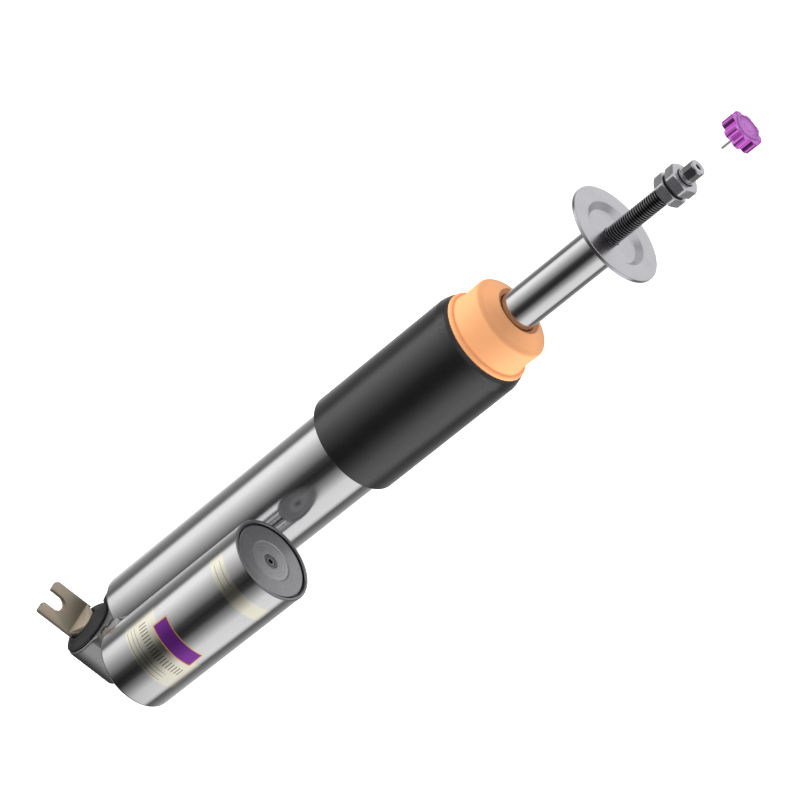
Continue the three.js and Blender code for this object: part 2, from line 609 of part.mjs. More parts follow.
add(rodGroup, 'piston_rod', pistonRod(), POLISHED);
add(rodGroup, 'support_washer', supportWasher(), ZINC);

const nutBore = STUD_R + GAP;
const lockZ = LOWER_NUT_Z + NUT_H + GAP;
const upperNutZ = lockZ + LOCK_T + GAP;
add(rodGroup, 'lower_nut', nut(NUT_AF, NUT_H, nutBore, NUT_TURN), ZINC)
	.position.z = LOWER_NUT_Z;
add(rodGroup, 'lock_washer', ring(nutBore, LOCK_R, lockZ, lockZ + LOCK_T, SEGMENTS.small),
	DARK_STEEL);
add(rodGroup, 'upper_nut', nut(NUT_AF, NUT_H, nutBore, NUT_TURN), ZINC)
	.position.z = upperNutZ;

// The piston has a ring of ports covered by a shim stack on each face.
function piston() {
	const grooveZ0 = PISTON_Z0 + 4;
	const grooveZ1 = PISTON_Z1 - 4;
	const blank = turned([V2(SPIGOT_R + GAP, PISTON_Z0), V2(PISTON_R - 0.5, PISTON_Z0),
		V2(PISTON_R, PISTON_Z0 + 0.5), V2(PISTON_R, grooveZ0), V2(20.8, grooveZ0),
		V2(20.8, grooveZ1), V2(PISTON_R, grooveZ1), V2(PISTON_R, PISTON_Z1 - 0.5),
		V2(PISTON_R - 0.5, PISTON_Z1), V2(SPIGOT_R + GAP, PISTON_Z1),
		V2(SPIGOT_R + GAP, PISTON_Z0)], SEGMENTS.medium);
	const ports = Array.from({ length: 8 }, (_, i) => {
		const a = Math.PI * i / 4;
		const x = 15.5 * Math.cos(a);
		const y = 15.5 * Math.sin(a);
		return bar(V3(x, y, PISTON_Z0 - OVERCUT), V3(x, y, PISTON_Z1 + OVERCUT), 2, 12);
	});
	return cut(blank, ...ports);
}

const shimBore = SPIGOT_R + GAP + 0.2;
add(rodGroup, 'piston', piston(), CAP_GREY);
add(rodGroup, 'rebound_shims', shimStack(shimBore, 19.5, PISTON_Z0 - GAP, -1), SPRING_STEEL);
add(rodGroup, 'bump_shims', shimStack(shimBore, 19.5, PISTON_Z1 + GAP, 1), SPRING_STEEL);
add(rodGroup, 'piston_nut', nut(22, 8, shimBore, 0), ZINC).position.z = PISTON_Z0 - 11;
add(rodGroup, 'rebound_spacer', ring(ROD_R + 0.6, 15.5, ROD_Z0 + 0.6, SPACER_Z1), ZINC);
add(rodGroup, 'top_out_stop', ring(ROD_R + 0.6, 19, SPACER_Z1 + GAP, GUIDE_Z0 - GAP,
	SEGMENTS.medium, 1.5), RUBBER);

// The band stays still while the rod turns inside the tube, so it is not in the rod's group.
add(damper, 'piston_band', ring(21.1, BORE_R - 0.3, PISTON_Z0 + 4.3, PISTON_Z1 - 4.3,
	SEGMENTS.large), BRONZE);

// ---- rebound adjuster ----------------------------------------------------------------

function reboundNeedle() {
	const r = NEEDLE_BORE_R - 0.4;
	return turned([V2(0, SPIGOT_Z0 - 6), V2(0.7, SPIGOT_Z0 - 6), V2(r, SPIGOT_Z0 + 2),
		V2(r, NEEDLE_TOP_Z), V2(1.4, NEEDLE_TOP_Z), V2(1.4, NEEDLE_TOP_Z - 4),
		V2(0, NEEDLE_TOP_Z - 4)], SEGMENTS.tiny);
}

// Outline of broad lobes parted by narrow notches.
function knobOutline(scale) {
	const steps = KNOB_LOBES * 10;
	return new THREE.Shape(Array.from({ length: steps }, (_, i) => {
		const a = 2 * Math.PI * i / steps;
		const lobe = Math.sqrt(Math.abs(Math.cos(a * KNOB_LOBES / 2)));
		const r = scale * (KNOB_VALLEY_R + (KNOB_R - KNOB_VALLEY_R) * lobe);
		return V2(r * Math.cos(a), r * Math.sin(a));
	}));
}

function adjusterKnob() {
	const height = KNOB_Z1 - KNOB_Z0;
	const body = new THREE.ExtrudeGeometry(knobOutline(1), { depth: height, bevelEnabled: false });
	body.translate(0, 0, KNOB_Z0);
	const crown = turned([V2(0, KNOB_Z0), V2(KNOB_R - 0.6, KNOB_Z0), V2(KNOB_R + 0.1, KNOB_Z0 + 0.7),
		V2(KNOB_R + 0.1, KNOB_Z1 - 0.9), V2(KNOB_R - 1, KNOB_Z1), V2(7.4, KNOB_Z1),
		V2(7.1, KNOB_Z1 + 0.7), V2(6.6, KNOB_Z1 + 0.7), V2(6.2, KNOB_Z1 + 0.2),
		V2(0, KNOB_Z1 + 0.2)], SEGMENTS.medium);
	const cap = rod(8, KNOB_Z1 - OVERCUT, KNOB_Z1 + OVERCUT, SEGMENTS.medium);
	const keyHole = rod(KEY_R + GAP, KNOB_Z0 - OVERCUT, KNOB_Z0 + 4, SEGMENTS.tiny);
	return cut(common(joined(closed(body), cap), crown), keyHole);
}

const keyTop = KNOB_Z0 + 3.6;
add(rodGroup, 'rebound_needle', reboundNeedle(), ZINC);
add(rodGroup, 'adjuster_knob', adjusterKnob(), PURPLE);
add(rodGroup, 'knob_key', rod(KEY_R, KEY_Z0, keyTop, 12), POLISHED);

export default damper;
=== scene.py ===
"""A gas damper with a piggyback reservoir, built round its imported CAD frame.

Outlines are in millimetres of radius and height, and meshes are in metres. +Z runs up the
damper from the centre of the lower eye, +X points to the reservoir and Y is the eye's axis.
"""

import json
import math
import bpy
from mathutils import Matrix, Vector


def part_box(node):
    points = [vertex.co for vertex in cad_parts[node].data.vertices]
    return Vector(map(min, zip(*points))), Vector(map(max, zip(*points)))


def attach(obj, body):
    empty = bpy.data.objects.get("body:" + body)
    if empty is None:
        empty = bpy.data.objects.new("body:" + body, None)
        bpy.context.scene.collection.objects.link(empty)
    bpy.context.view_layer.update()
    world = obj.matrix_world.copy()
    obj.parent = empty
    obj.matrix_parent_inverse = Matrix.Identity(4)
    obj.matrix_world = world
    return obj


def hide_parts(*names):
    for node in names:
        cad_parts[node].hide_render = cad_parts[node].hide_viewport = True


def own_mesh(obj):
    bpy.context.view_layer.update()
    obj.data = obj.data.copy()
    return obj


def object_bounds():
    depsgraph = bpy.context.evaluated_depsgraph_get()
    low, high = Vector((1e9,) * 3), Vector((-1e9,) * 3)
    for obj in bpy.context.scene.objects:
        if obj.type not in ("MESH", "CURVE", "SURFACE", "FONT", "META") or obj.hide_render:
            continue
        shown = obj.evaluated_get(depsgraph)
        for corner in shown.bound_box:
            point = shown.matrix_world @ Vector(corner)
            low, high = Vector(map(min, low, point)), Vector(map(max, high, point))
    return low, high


bl_info = {
    "name": "Damper with Piggyback Reservoir",
    "version": (1, 0, 0),
    "blender": (4, 5, 0),
    "location": "View3D > Sidebar > Damper",
    "description": "Builds the finished pieces of a gas damper round its CAD frame",
    "category": "Add Mesh",
}

import bmesh
import bpy
from bpy.props import (
    FloatProperty,
    FloatVectorProperty,
    IntProperty,
    PointerProperty,
)
from mathutils import Matrix, Vector

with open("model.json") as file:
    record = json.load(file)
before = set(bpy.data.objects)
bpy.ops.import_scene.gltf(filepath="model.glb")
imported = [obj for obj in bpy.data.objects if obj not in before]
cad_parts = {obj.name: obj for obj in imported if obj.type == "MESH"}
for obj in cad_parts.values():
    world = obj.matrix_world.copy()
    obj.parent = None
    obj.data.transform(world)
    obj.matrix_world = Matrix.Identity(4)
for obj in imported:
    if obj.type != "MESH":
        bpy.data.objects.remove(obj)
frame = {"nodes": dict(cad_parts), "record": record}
CAD_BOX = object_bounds()

MM = 0.001
FULL_TURN = 2 * math.pi
CREASE = math.radians(30)
BEVEL_FROM = math.radians(25)  # sharper edges of the tip and the nuts are rounded
FACET_CREASE = math.radians(50)  # sharper edges stay sharp in shading on them and the thread
WELD = 1e-7


# ---- the frame's sizes, in millimetres ------------------------------------------------------


class Extent:
    """Where a CAD node lies, in millimetres."""

    def __init__(self, node):
        low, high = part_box(node)
        self.low = low / MM
        self.high = high / MM
        self.radius = (high.x - low.x) / MM / 2
        self.x = (high.x + low.x) / MM / 2
        self.bottom = low.z / MM
        self.top = high.z / MM


TUBE = Extent("damper_tube")
DUST = Extent("dust_tube")
STOP = Extent("bump_stop")
RESERVOIR = Extent("reservoir_tube")
CAP = Extent("reservoir_cap")
CIRCLIP = Extent("cap_circlip")
VALVE = Extent("gas_valve")
ROD = Extent("piston_rod")
WASHER = Extent("support_washer")
LOCK_RING = Extent("lock_washer")
KNOB = Extent("adjuster_knob")
KEY = Extent("knob_key")
BUSH = Extent("lower_bush")
PIN = Extent("bar_pin")


# ---- what a user may change -----------------------------------------------------------------


def length(name, description, millimetres):
    """A length setting, given in millimetres and kept in metres."""
    return FloatProperty(
        name=name, description=description, default=millimetres * MM, unit="LENGTH", precision=5
    )


def angle(name, description, degrees):
    """An angle setting, given in degrees."""
    return FloatProperty(
        name=name, description=description, default=math.radians(degrees), subtype="ANGLE"
    )


def colour(name, description, red, green, blue):
    """A colour setting in linear light."""
    return FloatVectorProperty(
        name=name,
        description=description,
        default=(red, green, blue),
        subtype="COLOR",
        min=0.0,
        max=1.0,
    )


class DamperSizes(bpy.types.PropertyGroup):
    """Sizes that the CAD frame leaves to the finished surface."""

    thread_pitch: length("Thread pitch", "Rise of the stud's thread in one turn", 1.5)
    thread_depth: length("Thread depth", "Crest to root of the stud's thread", 0.8)
    tube_edge: length("Tube edge", "Rounding of the foot of each polished tube", 1.9)
    plate_edge: length("Plate edge", "Rounding of the bar pin's stamped edges", 0.45)
    casting_grain: length("Casting detail", "Size of the cells that round the casting", 0.6)
    knob_lobes: IntProperty(
        name="Knob lobes", description="Lobes round the adjuster knob", default=8, min=3
    )
    knob_ticks: IntProperty(
        name="Knob ticks", description="Tick marks on the face of the knob", default=16, min=4
    )


class DamperColours(bpy.types.PropertyGroup):
    """Base colour of each finish."""

    steel: colour("Polished steel", "Tubes and rod", 0.80, 0.80, 0.81)
    casting: colour("Casting", "Satin cast alloy of the lower body", 0.52, 0.52, 0.52)
    dust_tube: colour("Dust tube", "Charcoal plastic tube", 0.005, 0.005, 0.005)
    foam: colour("Foam", "Bump stop", 1.0, 0.45, 0.20)
    # painted shade of the foam inside the bump stop's mouth
    foam_mouth_shade: colour("Deep foam", "Bump stop, inside its mouth", 0.95, 0.40, 0.18)
    rubber: colour("Rubber", "Bush of the lower eye", 0.012, 0.012, 0.013)
    zinc: colour("Zinc", "Washer and nuts", 0.66, 0.66, 0.69)
    yellow_zinc: colour("Yellow zinc", "Bar pin", 0.52, 0.47, 0.36)
    dark_steel: colour("Dark steel", "Thread, lock ring and circlip", 0.07, 0.07, 0.075)
    anodised: colour("Anodised", "Adjuster knob", 0.84, 0.19, 0.94)
    turned: colour("Turned aluminium", "Reservoir cap and inner pieces", 0.36, 0.36, 0.37)
    bronze: colour("Bronze", "Bearing bands and adjuster screws", 0.40, 0.24, 0.10)
    label: colour("Label film", "Cream film of the labels", 0.93, 0.90, 0.76)
    label_band: colour("Label band", "Plain band on the lower label", 0.20, 0.035, 0.32)
    label_edge: colour("Label band edge", "Border of the plain band", 0.85, 0.42, 0.12)


class StudioSettings(bpy.types.PropertyGroup):
    """The camera and the light."""

    azimuth: angle("Azimuth", "Camera's angle round the damper", 68.0)
    elevation: angle("Elevation", "Camera's angle above the horizon", 30.77)
    roll: angle("Roll", "Camera's turn about its own axis", 51.2)
    distance: length("Distance", "Camera to its target", 1910.72)
    target: FloatVectorProperty(
        name="Target",
        description="Point that the camera looks at",
        default=(-0.00712, 0.0, 0.24322),
        subtype="TRANSLATION",
        precision=5,
    )
    lens: FloatProperty(
        name="Lens", description="Focal length on a 36 mm sensor, in millimetres", default=163.5
    )
    floor_drop: length("Floor drop", "How far below the lower eye the floor lies", 600.0)
    side_light: FloatProperty(
        name="Side light", description="Power of each side light, in watts", default=22.0
    )


# ---- shader maths ---------------------------------------------------------------------------


class Wire:
    """A node's output. Arithmetic on numbers adds Math nodes to the same tree."""

    def __init__(self, sketch, socket):
        self.sketch = sketch
        self.socket = socket

    def __add__(self, other):
        return self.sketch.maths("ADD", self, other)

    def __radd__(self, other):
        return self.sketch.maths("ADD", other, self)

    def __sub__(self, other):
        return self.sketch.maths("SUBTRACT", self, other)

    def __rsub__(self, other):
        return self.sketch.maths("SUBTRACT", other, self)

    def __mul__(self, other):
        return self.sketch.maths("MULTIPLY", self, other)

    def __rmul__(self, other):
        return self.sketch.maths("MULTIPLY", other, self)

    def __truediv__(self, other):
        return self.sketch.maths("DIVIDE", self, other)

    def __gt__(self, other):
        return self.sketch.maths("GREATER_THAN", self, other)

    def __lt__(self, other):
        return self.sketch.maths("LESS_THAN", self, other)

    def between(self, low, high):
        """1 where the value lies from low to high, and 0 outside."""
        return (self > low) * (self < high)

    def step(self, low, high):
        """0 at low, 1 at high, with a smooth way between."""
        settings = {"interpolation_type": "SMOOTHSTEP"}
        sockets = {"Value": self, "From Min": low, "From Max": high}
        return self.sketch.node("MapRange", settings, sockets)


class Sketch:
    """A node tree that is filled one node at a time."""

    def __init__(self, tree):
        self.tree = tree

    def node(self, kind, settings=None, sockets=None, output=0):
        """Adds a node: its settings first, then the values or wires of its sockets."""
        made = self.tree.nodes.new("ShaderNode" + kind)
        for name, value in (settings or {}).items():
            if name == "stops":
                self.set_stops(made.color_ramp, value)
            else:
                setattr(made, name, value)
        for name, value in (sockets or {}).items():
            self.join(made.inputs[name], value)
        return Wire(self, made.outputs[output])

    def maths(self, operation, *values):
        """A Math node on up to three numbers or wires."""
        return self.node("Math", {"operation": operation}, dict(enumerate(values)))

    def set_stops(self, ramp, stops):
        """Replaces a ramp's stops with grey ones, each (position, shade)."""
        while len(ramp.elements) > 1:
            ramp.elements.remove(ramp.elements[-1])
        for index, (position, shade) in enumerate(stops):
            element = ramp.elements[0] if index == 0 else ramp.elements.new(position)
            element.position = position
            element.color = (shade, shade, shade, 1.0)

    def join(self, socket, value):
        """Links a wire to a socket, or sets the socket's plain value."""
        if isinstance(value, Wire):
            self.tree.links.new(value.socket, socket)
        elif hasattr(value, "__len__") and len(value) == 3 and socket.type == "RGBA":
            socket.default_value = (*value, 1.0)
        else:
            socket.default_value = value

    def split(self, vector):
        """The three parts of a vector, as wires."""
        parts = self.node("SeparateXYZ", None, {0: vector})
        node = parts.socket.node
        return [Wire(self, node.outputs[axis]) for axis in range(3)]


class Finish(Sketch):
    """A material with one Principled shader. Its coordinates are in millimetres."""

    def __init__(self, name, base, roughness, metallic=0.0, **constants):
        self.material = bpy.data.materials.new(name)
        self.material.use_nodes = True
        super().__init__(self.material.node_tree)
        self.shader = self.tree.nodes["Principled BSDF"]
        self.base = tuple(base)
        self.paint("Base Color", self.base)
        self.paint("Roughness", roughness)
        self.paint("Metallic", metallic)
        for name, value in constants.items():
            self.paint(name.replace("_", " ").title().replace("Ior", "IOR"), value)
        self.material.diffuse_color = (*self.base, 1.0)
        metres = self.node("TexCoord", None, None, "Object")
        self.place = self.scaled(metres, (1 / MM, 1 / MM, 1 / MM))

    def paint(self, socket, value):
        """Sets or links one input of the material's shader."""
        self.join(self.shader.inputs[socket], value)

    def scaled(self, vector, by):
        """A vector, multiplied axis by axis."""
        return self.node("VectorMath", {"operation": "MULTIPLY"}, {0: vector, 1: by})

    def noise(self, per_mm, detail=2.0, stretch=(1, 1, 1)):
        """Noise with per_mm lumps to the millimetre, drawn out along an axis by stretch."""
        sockets = {"Vector": self.scaled(self.place, stretch), "Scale": per_mm, "Detail": detail}
        return self.node("TexNoise", {"noise_dimensions": "3D"}, sockets)

    def mix(self, factor, first, second):
        """A colour from first to second, as factor goes from 0 to 1."""
        settings = {"data_type": "RGBA", "clamp_factor": True}
        return self.node("Mix", settings, {0: factor, 6: first, 7: second}, 2)

    def shaded(self, factor, low, high):
        """The base colour, from low to high times its own brightness."""
        dim = tuple(part * low for part in self.base)
        lit = tuple(min(1.0, part * high) for part in self.base)
        return self.mix(factor, dim, lit)

    def bump(self, height, strength, depth_mm):
        """Raises the surface by a height from 0 to 1, depth_mm at most."""
        sockets = {"Height": height, "Strength": strength, "Distance": depth_mm * MM}
        self.paint("Normal", self.node("Bump", None, sockets))

    def radius_and_turn(self, centre_x=0.0):
        """Distance from a vertical axis in millimetres, angle round it in degrees, and height."""
        x, y, z = self.split(self.place)
        x = x - centre_x
        distance = self.maths("SQRT", x * x + y * y)
        turn = self.maths("ARCTAN2", y, x) * math.degrees(1)
        return distance, turn, z


# ---- finishes -------------------------------------------------------------------------------

# Colours that only one finish mixes in.
SAWN_END = (0.30, 0.30, 0.31)
INK = (0.05, 0.05, 0.05)
DUSTY = (0.012, 0.012, 0.013)
STRAW = (0.58, 0.46, 0.36)
OLIVE = (0.30, 0.28, 0.22)
CREST_GREY = (0.46, 0.46, 0.47)
LILAC = (0.66, 0.24, 0.74)


def polished_steel(shades):
    """Ground and polished tube: fine lines round the tube and faint cloudy smears."""
    made = Finish("polished_steel", shades.steel, 0.14, 1.0)
    smear = made.noise(0.035, 3.0)
    lines = made.noise(1.0, 1.0, (0.05, 0.05, 5.0))
    made.paint("Base Color", made.shaded(smear, 0.93, 1.04))
    made.paint("Roughness", 0.10 + 0.05 * smear + 0.03 * lines)
    made.bump(lines, 0.05, 0.02)
    return made.material


LABEL_TURN = (-76.0, 33.0)  # degrees round the reservoir
UPPER_LABEL = (134.5, 144.5)  # height, in millimetres
LOWER_LABEL = (64.0, 88.0)
BAND_TURN = (-52.0, 20.0)
BAND_RISE = (84.5, 96.0)
BAND_BORDER = 0.7
RULES = (65.5, 68.5, 71.0)
RULE_TURN = (-66.0, 8.0)
UPPER_RULES = (137.2, 141.4)
UPPER_RULE_TURN = (-66.0, -30.0)
RULE_WIDTH = 0.28
TICK_RISE = (74.6, 80.2)
TICK_TURN = (-66.0, 22.0)
TICK_PITCH = 4.5  # degrees
TICK_WIDTH = 1.3


def reservoir_steel(shades):
    """Polished steel under two cream label films, marked with plain rules and ticks."""
    made = Finish("reservoir_steel", shades.steel, 0.14, 1.0)
    distance, turn, height = made.radius_and_turn(RESERVOIR.x)
    smear = made.noise(0.035, 3.0)
    lines = made.noise(1.0, 1.0, (0.05, 0.05, 5.0))
    outside = distance > RESERVOIR.radius - 0.3
    wrap = turn.between(*LABEL_TURN) * outside
    film = wrap * (height.between(*UPPER_LABEL) + height.between(*LOWER_LABEL))
    low_turn, high_turn = BAND_TURN
    low, high = BAND_RISE
    edge_turn = math.degrees(BAND_BORDER / RESERVOIR.radius)
    whole_band = turn.between(low_turn, high_turn) * height.between(low, high) * outside
    inner_band = turn.between(low_turn + edge_turn, high_turn - edge_turn)
    inner_band = inner_band * height.between(low + BAND_BORDER, high - BAND_BORDER) * outside
    rules = 0.0
    for rule in RULES:
        rules = rules + height.between(rule, rule + RULE_WIDTH)
    rules = rules * turn.between(*RULE_TURN)
    for rule in UPPER_RULES:
        line = height.between(rule, rule + RULE_WIDTH)
        rules = rules + line * turn.between(*UPPER_RULE_TURN)
    cell = made.maths("PINGPONG", turn + 360.0, TICK_PITCH / 2)
    ticks = (cell < TICK_WIDTH / 2) * height.between(*TICK_RISE) * turn.between(*TICK_TURN)
    marks = (rules + ticks) * outside
    end = height.step(RESERVOIR.top - 0.9, RESERVOIR.top - 0.6)
    steel = made.mix(end, made.shaded(smear, 0.93, 1.04), SAWN_END)
    base = made.mix(film, steel, tuple(shades.label))
    base = made.mix(marks * 0.8, base, INK)
    base = made.mix(whole_band, base, tuple(shades.label_edge))
    base = made.mix(inner_band, base, tuple(shades.label_band))
    made.paint("Base Color", base)
    made.paint("Metallic", 1.0 - 0.02 * film - 0.35 * whole_band)
    made.paint("Roughness", 0.10 + 0.05 * smear + 0.03 * lines + 0.03 * film + 0.18 * end)
    made.bump(lines + 2.0 * film, 0.05, 0.02)
    return made.material


def cast_alloy(shades):
    """Satin casting: a fine blasted grain, faint mottling, and painted shade on the faces that
    look down.
    """
    made = Finish("cast_alloy", shades.casting, 0.36, 0.9)
    mottle = made.noise(0.12, 4.0)
    grain = made.noise(2.2, 2.0)
    # painted shade: faces that look down are darkened towards a tenth of the casting's colour
    facing = made.split(made.node("TexCoord", None, None, "Normal"))[2]
    underside_shade = tuple(part * 0.10 for part in shades.casting)
    mottled = made.shaded(mottle, 0.84, 1.14)
    made.paint("Base Color", made.mix(facing.step(-0.85, 0.0), underside_shade, mottled))
    made.paint("Roughness", 0.27 + 0.12 * mottle + 0.06 * grain)
    made.bump(grain + 0.6 * mottle, 0.22, 0.06)
    return made.material


def charcoal_plastic(shades):
    """Drawn plastic tube: a slight ripple, faint haze and fine scuffs along it."""
    made = Finish("charcoal_plastic", shades.dust_tube, 0.24, 0.0, ior=1.85)
    haze = made.noise(0.05, 3.0)
    scuffs = made.noise(0.8, 2.0, (1.0, 1.0, 0.06))
    made.paint("Base Color", made.mix(haze, tuple(shades.dust_tube), DUSTY))
    made.paint("Roughness", 0.20 + 0.08 * haze + 0.05 * scuffs)
    made.bump(scuffs, 0.05, 0.03)
    return made.material


def stop_foam(shades):
    """Microcellular foam: a fine cellular skin, and painted shade, warmer and darker, inside its
    mouth.
    """
    made = Finish("stop_foam", shades.foam, 0.62, 0.0)
    distance, _, height = made.radius_and_turn()
    cloud = made.noise(0.09, 3.0)
    cells = made.node("TexVoronoi", {"feature": "F1"}, {"Vector": made.place, "Scale": 2.4})
    pores = made.noise(3.5, 2.0)
    # painted shade: the foam near the rod, at the top of the mouth, is darkened
    near_rod = 1.0 - distance.step(ROD.radius + 0.9, ROD.radius + 1.9)
    mouth = near_rod * height.step(STOP.top - 6, STOP.top - 4)
    base = made.shaded(cloud + 0.25 * (pores - 0.5), 0.93, 1.05)
    made.paint("Base Color", made.mix(mouth, base, tuple(shades.foam_mouth_shade)))
    made.paint("Roughness", 0.52 + 0.16 * pores)
    made.bump(cells * 0.5 + pores, 0.18, 0.05)
    return made.material


def rubber(name, base, grain_strength=0.2):
    """Moulded rubber with a dull bloom."""
    made = Finish(name, base, 0.6, 0.0)
    bloom = made.noise(0.15, 3.0)
    grain = made.noise(2.5, 2.0)
    pale = tuple(part * 2.2 + 0.01 for part in base)
    made.paint("Base Color", made.mix(bloom, tuple(base), pale))
    made.paint("Roughness", 0.48 + 0.2 * bloom)
    made.bump(grain, grain_strength, 0.05)
    return made.material


def zinc(name, shades, roughness, metallic):
    """Zinc plate over a stamped, turned or forged surface."""
    made = Finish(name, shades.zinc, roughness, metallic)
    cloud = made.noise(0.10, 3.0)
    grain = made.noise(1.6, 2.0)
    made.paint("Base Color", made.shaded(cloud, 0.90, 1.06))
    made.paint("Roughness", roughness - 0.05 + 0.07 * cloud + 0.04 * grain)
    made.bump(grain, 0.04, 0.03)
    return made.material


def yellow_zinc(shades):
    """Chromated zinc: olive with pink and straw patches, and a fine stamped grain."""
    made = Finish("yellow_zinc", shades.yellow_zinc, 0.36, 0.8)
    patch = made.noise(0.11, 2.0)
    grain = made.noise(1.8, 3.0)
    straw = made.mix(patch.step(0.35, 0.7), tuple(shades.yellow_zinc), STRAW)
    made.paint("Base Color", made.mix(0.35 * grain, straw, OLIVE))
    made.paint("Roughness", 0.28 + 0.14 * grain)
    made.bump(grain, 0.12, 0.05)
    return made.material


def dark_steel(shades):
    """Blackened spring steel with rubbed patches."""
    made = Finish("dark_steel", shades.dark_steel, 0.3, 0.9)
    rub = made.noise(0.5, 3.0)
    made.paint("Base Color", made.shaded(rub, 0.7, 1.9))
    made.paint("Roughness", 0.22 + 0.16 * rub)
    made.bump(rub, 0.05, 0.03)
    return made.material


def thread_steel(shades):
    """Rolled thread: dark in the roots and light grey on the crests."""
    made = Finish("thread_steel", shades.dark_steel, 0.3, 1.0)
    distance, _, _ = made.radius_and_turn()
    crest = distance.step(THREAD_R - 0.35, THREAD_R - 0.05)
    grain = made.noise(1.5, 2.0)
    made.paint("Base Color", made.mix(crest, tuple(shades.dark_steel), CREST_GREY))
    made.paint("Roughness", 0.24 + 0.10 * grain)
    made.bump(grain, 0.06, 0.03)
    return made.material


def anodised(shades):
    """Dyed anodised aluminium with fine turning lines."""
    made = Finish("purple_anodised", shades.anodised, 0.22, 1.0)
    cloud = made.noise(0.35, 2.0)
    lines = made.noise(1.0, 1.0, (0.15, 0.15, 7.0))
    pink = tuple(min(1.0, part * 1.2 + 0.02) for part in shades.anodised)
    _, _, height = made.radius_and_turn()
    face = height.step(KNOB.top - 1.0, KNOB.top - 0.8)
    grip = made.mix(cloud, tuple(shades.anodised), pink)
    made.paint("Base Color", made.mix(face, grip, LILAC))
    made.paint("Roughness", 0.22 + 0.10 * lines + 0.10 * face)
    made.bump(lines, 0.06, 0.02)
    return made.material


RING_PITCH = 0.42  # between two lathe marks, in millimetres


def turned_aluminium(name, base, centre_x=0.0, dish_r=0.0):
    """Lathe-turned aluminium: fine rings about its own axis, and a lighter middle to dish_r."""
    made = Finish(name, base, 0.3, 0.9)
    distance, _, _ = made.radius_and_turn(centre_x)
    rings = made.maths("SINE", distance * (FULL_TURN / RING_PITCH))
    broad = made.noise(0.12, 2.0)
    skin = made.shaded(broad + 0.12 * rings, 0.86, 1.12)
    if dish_r > 0:
        outside = distance.step(dish_r, dish_r + 0.3)
        skin = made.mix(outside, tuple(part * 1.28 for part in base), skin)
    made.paint("Base Color", skin)
    made.paint("Roughness", 0.26 + 0.08 * broad + 0.04 * rings)
    made.bump(rings, 0.10, 0.02)
    return made.material


def plain_metal(name, base, roughness):
    """A small machined piece: faint stain and fine tool marks."""
    made = Finish(name, base, roughness, 1.0)
    stain = made.noise(0.3, 3.0)
    marks = made.noise(2.0, 1.0, (0.3, 0.3, 3.0))
    made.paint("Base Color", made.shaded(stain, 0.82, 1.1))
    made.paint("Roughness", roughness - 0.05 + 0.12 * marks)
    made.bump(marks, 0.08, 0.02)
    return made.material


SPRING_STEEL = (0.32, 0.32, 0.33)
# near-black of the hidden seals, and of the painted-shade ring round each adjuster screw
SEAL_AND_SHADE_BLACK = (0.012, 0.012, 0.012)

FINISHES = {
    "polished_steel": polished_steel,
    "reservoir_steel": reservoir_steel,
    "cast_alloy": cast_alloy,
    "black_tube": charcoal_plastic,
    "stop_foam": stop_foam,
    "bush_rubber": lambda shades: rubber("bush_rubber", tuple(shades.rubber)),
    "seal_rubber": lambda shades: rubber("seal_rubber", SEAL_AND_SHADE_BLACK, 0.05),
    "zinc_plate": lambda shades: zinc("zinc_plate", shades, 0.22, 1.0),
    "nut_zinc": lambda shades: zinc("nut_zinc", shades, 0.22, 0.9),
    "yellow_zinc": yellow_zinc,
    "dark_steel": dark_steel,
    "thread_steel": thread_steel,
    "purple_anodised": anodised,
    "turned_aluminium": lambda shades: turned_aluminium("turned_aluminium", tuple(shades.turned)),
    "reservoir_turned": lambda shades: turned_aluminium(
        "reservoir_turned", tuple(shades.turned), RESERVOIR.x, CAP_RECESS_R
    ),
    "bronze": lambda shades: plain_metal("bronze", tuple(shades.bronze), 0.32),
    "spring_steel": lambda shades: plain_metal("spring_steel", SPRING_STEEL, 0.26),
}
made_finishes = {}


def finish(name):
    """The material of that name, made the first time that it is asked for."""
    if name not in made_finishes:
        made_finishes[name] = FINISHES[name](bpy.context.scene.damper_colours)
    return made_finishes[name]


# ---- mesh work ------------------------------------------------------------------------------


def rounded(*corners, closed=True, steps=5):
    """The outline through (radius, height) corners. A third number rounds the corner off."""
    outline = []
    last = len(corners) - 1
    for index, corner in enumerate(corners):
        here = Vector(corner[:2])
        at_end = not closed and index in (0, last)
        if len(corner) < 3 or at_end:
            outline.append(here)
            continue
        back = (Vector(corners[index - 1][:2]) - here).normalized()
        ahead = (Vector(corners[(index + 1) % len(corners)][:2]) - here).normalized()
        half = back.angle(ahead) / 2
        centre = here + (back + ahead).normalized() * corner[2] / math.sin(half)
        start = here + back * corner[2] / math.tan(half) - centre
        end = here + ahead * corner[2] / math.tan(half) - centre
        for step in range(steps + 1):
            outline.append(centre + start.slerp(end, step / steps).normalized() * corner[2])
    return outline


def creased(bm, crease):
    """Smooths every face of a bmesh, and marks the edges sharper than crease."""
    for face in bm.faces:
        face.smooth = True
    for edge in bm.edges:
        edge.smooth = len(edge.link_faces) == 2 and edge.calc_face_angle(0.0) < crease


def new_object(name, bm, crease=CREASE):
    """An object from a bmesh, smooth but for the edges sharper than crease."""
    bmesh.ops.remove_doubles(bm, verts=bm.verts, dist=WELD)
    bmesh.ops.recalc_face_normals(bm, faces=bm.faces)
    creased(bm, crease)
    mesh = bpy.data.meshes.new(name)
    bm.to_mesh(mesh)
    bm.free()
    made = bpy.data.objects.new(name, mesh)
    bpy.context.scene.collection.objects.link(made)
    return made


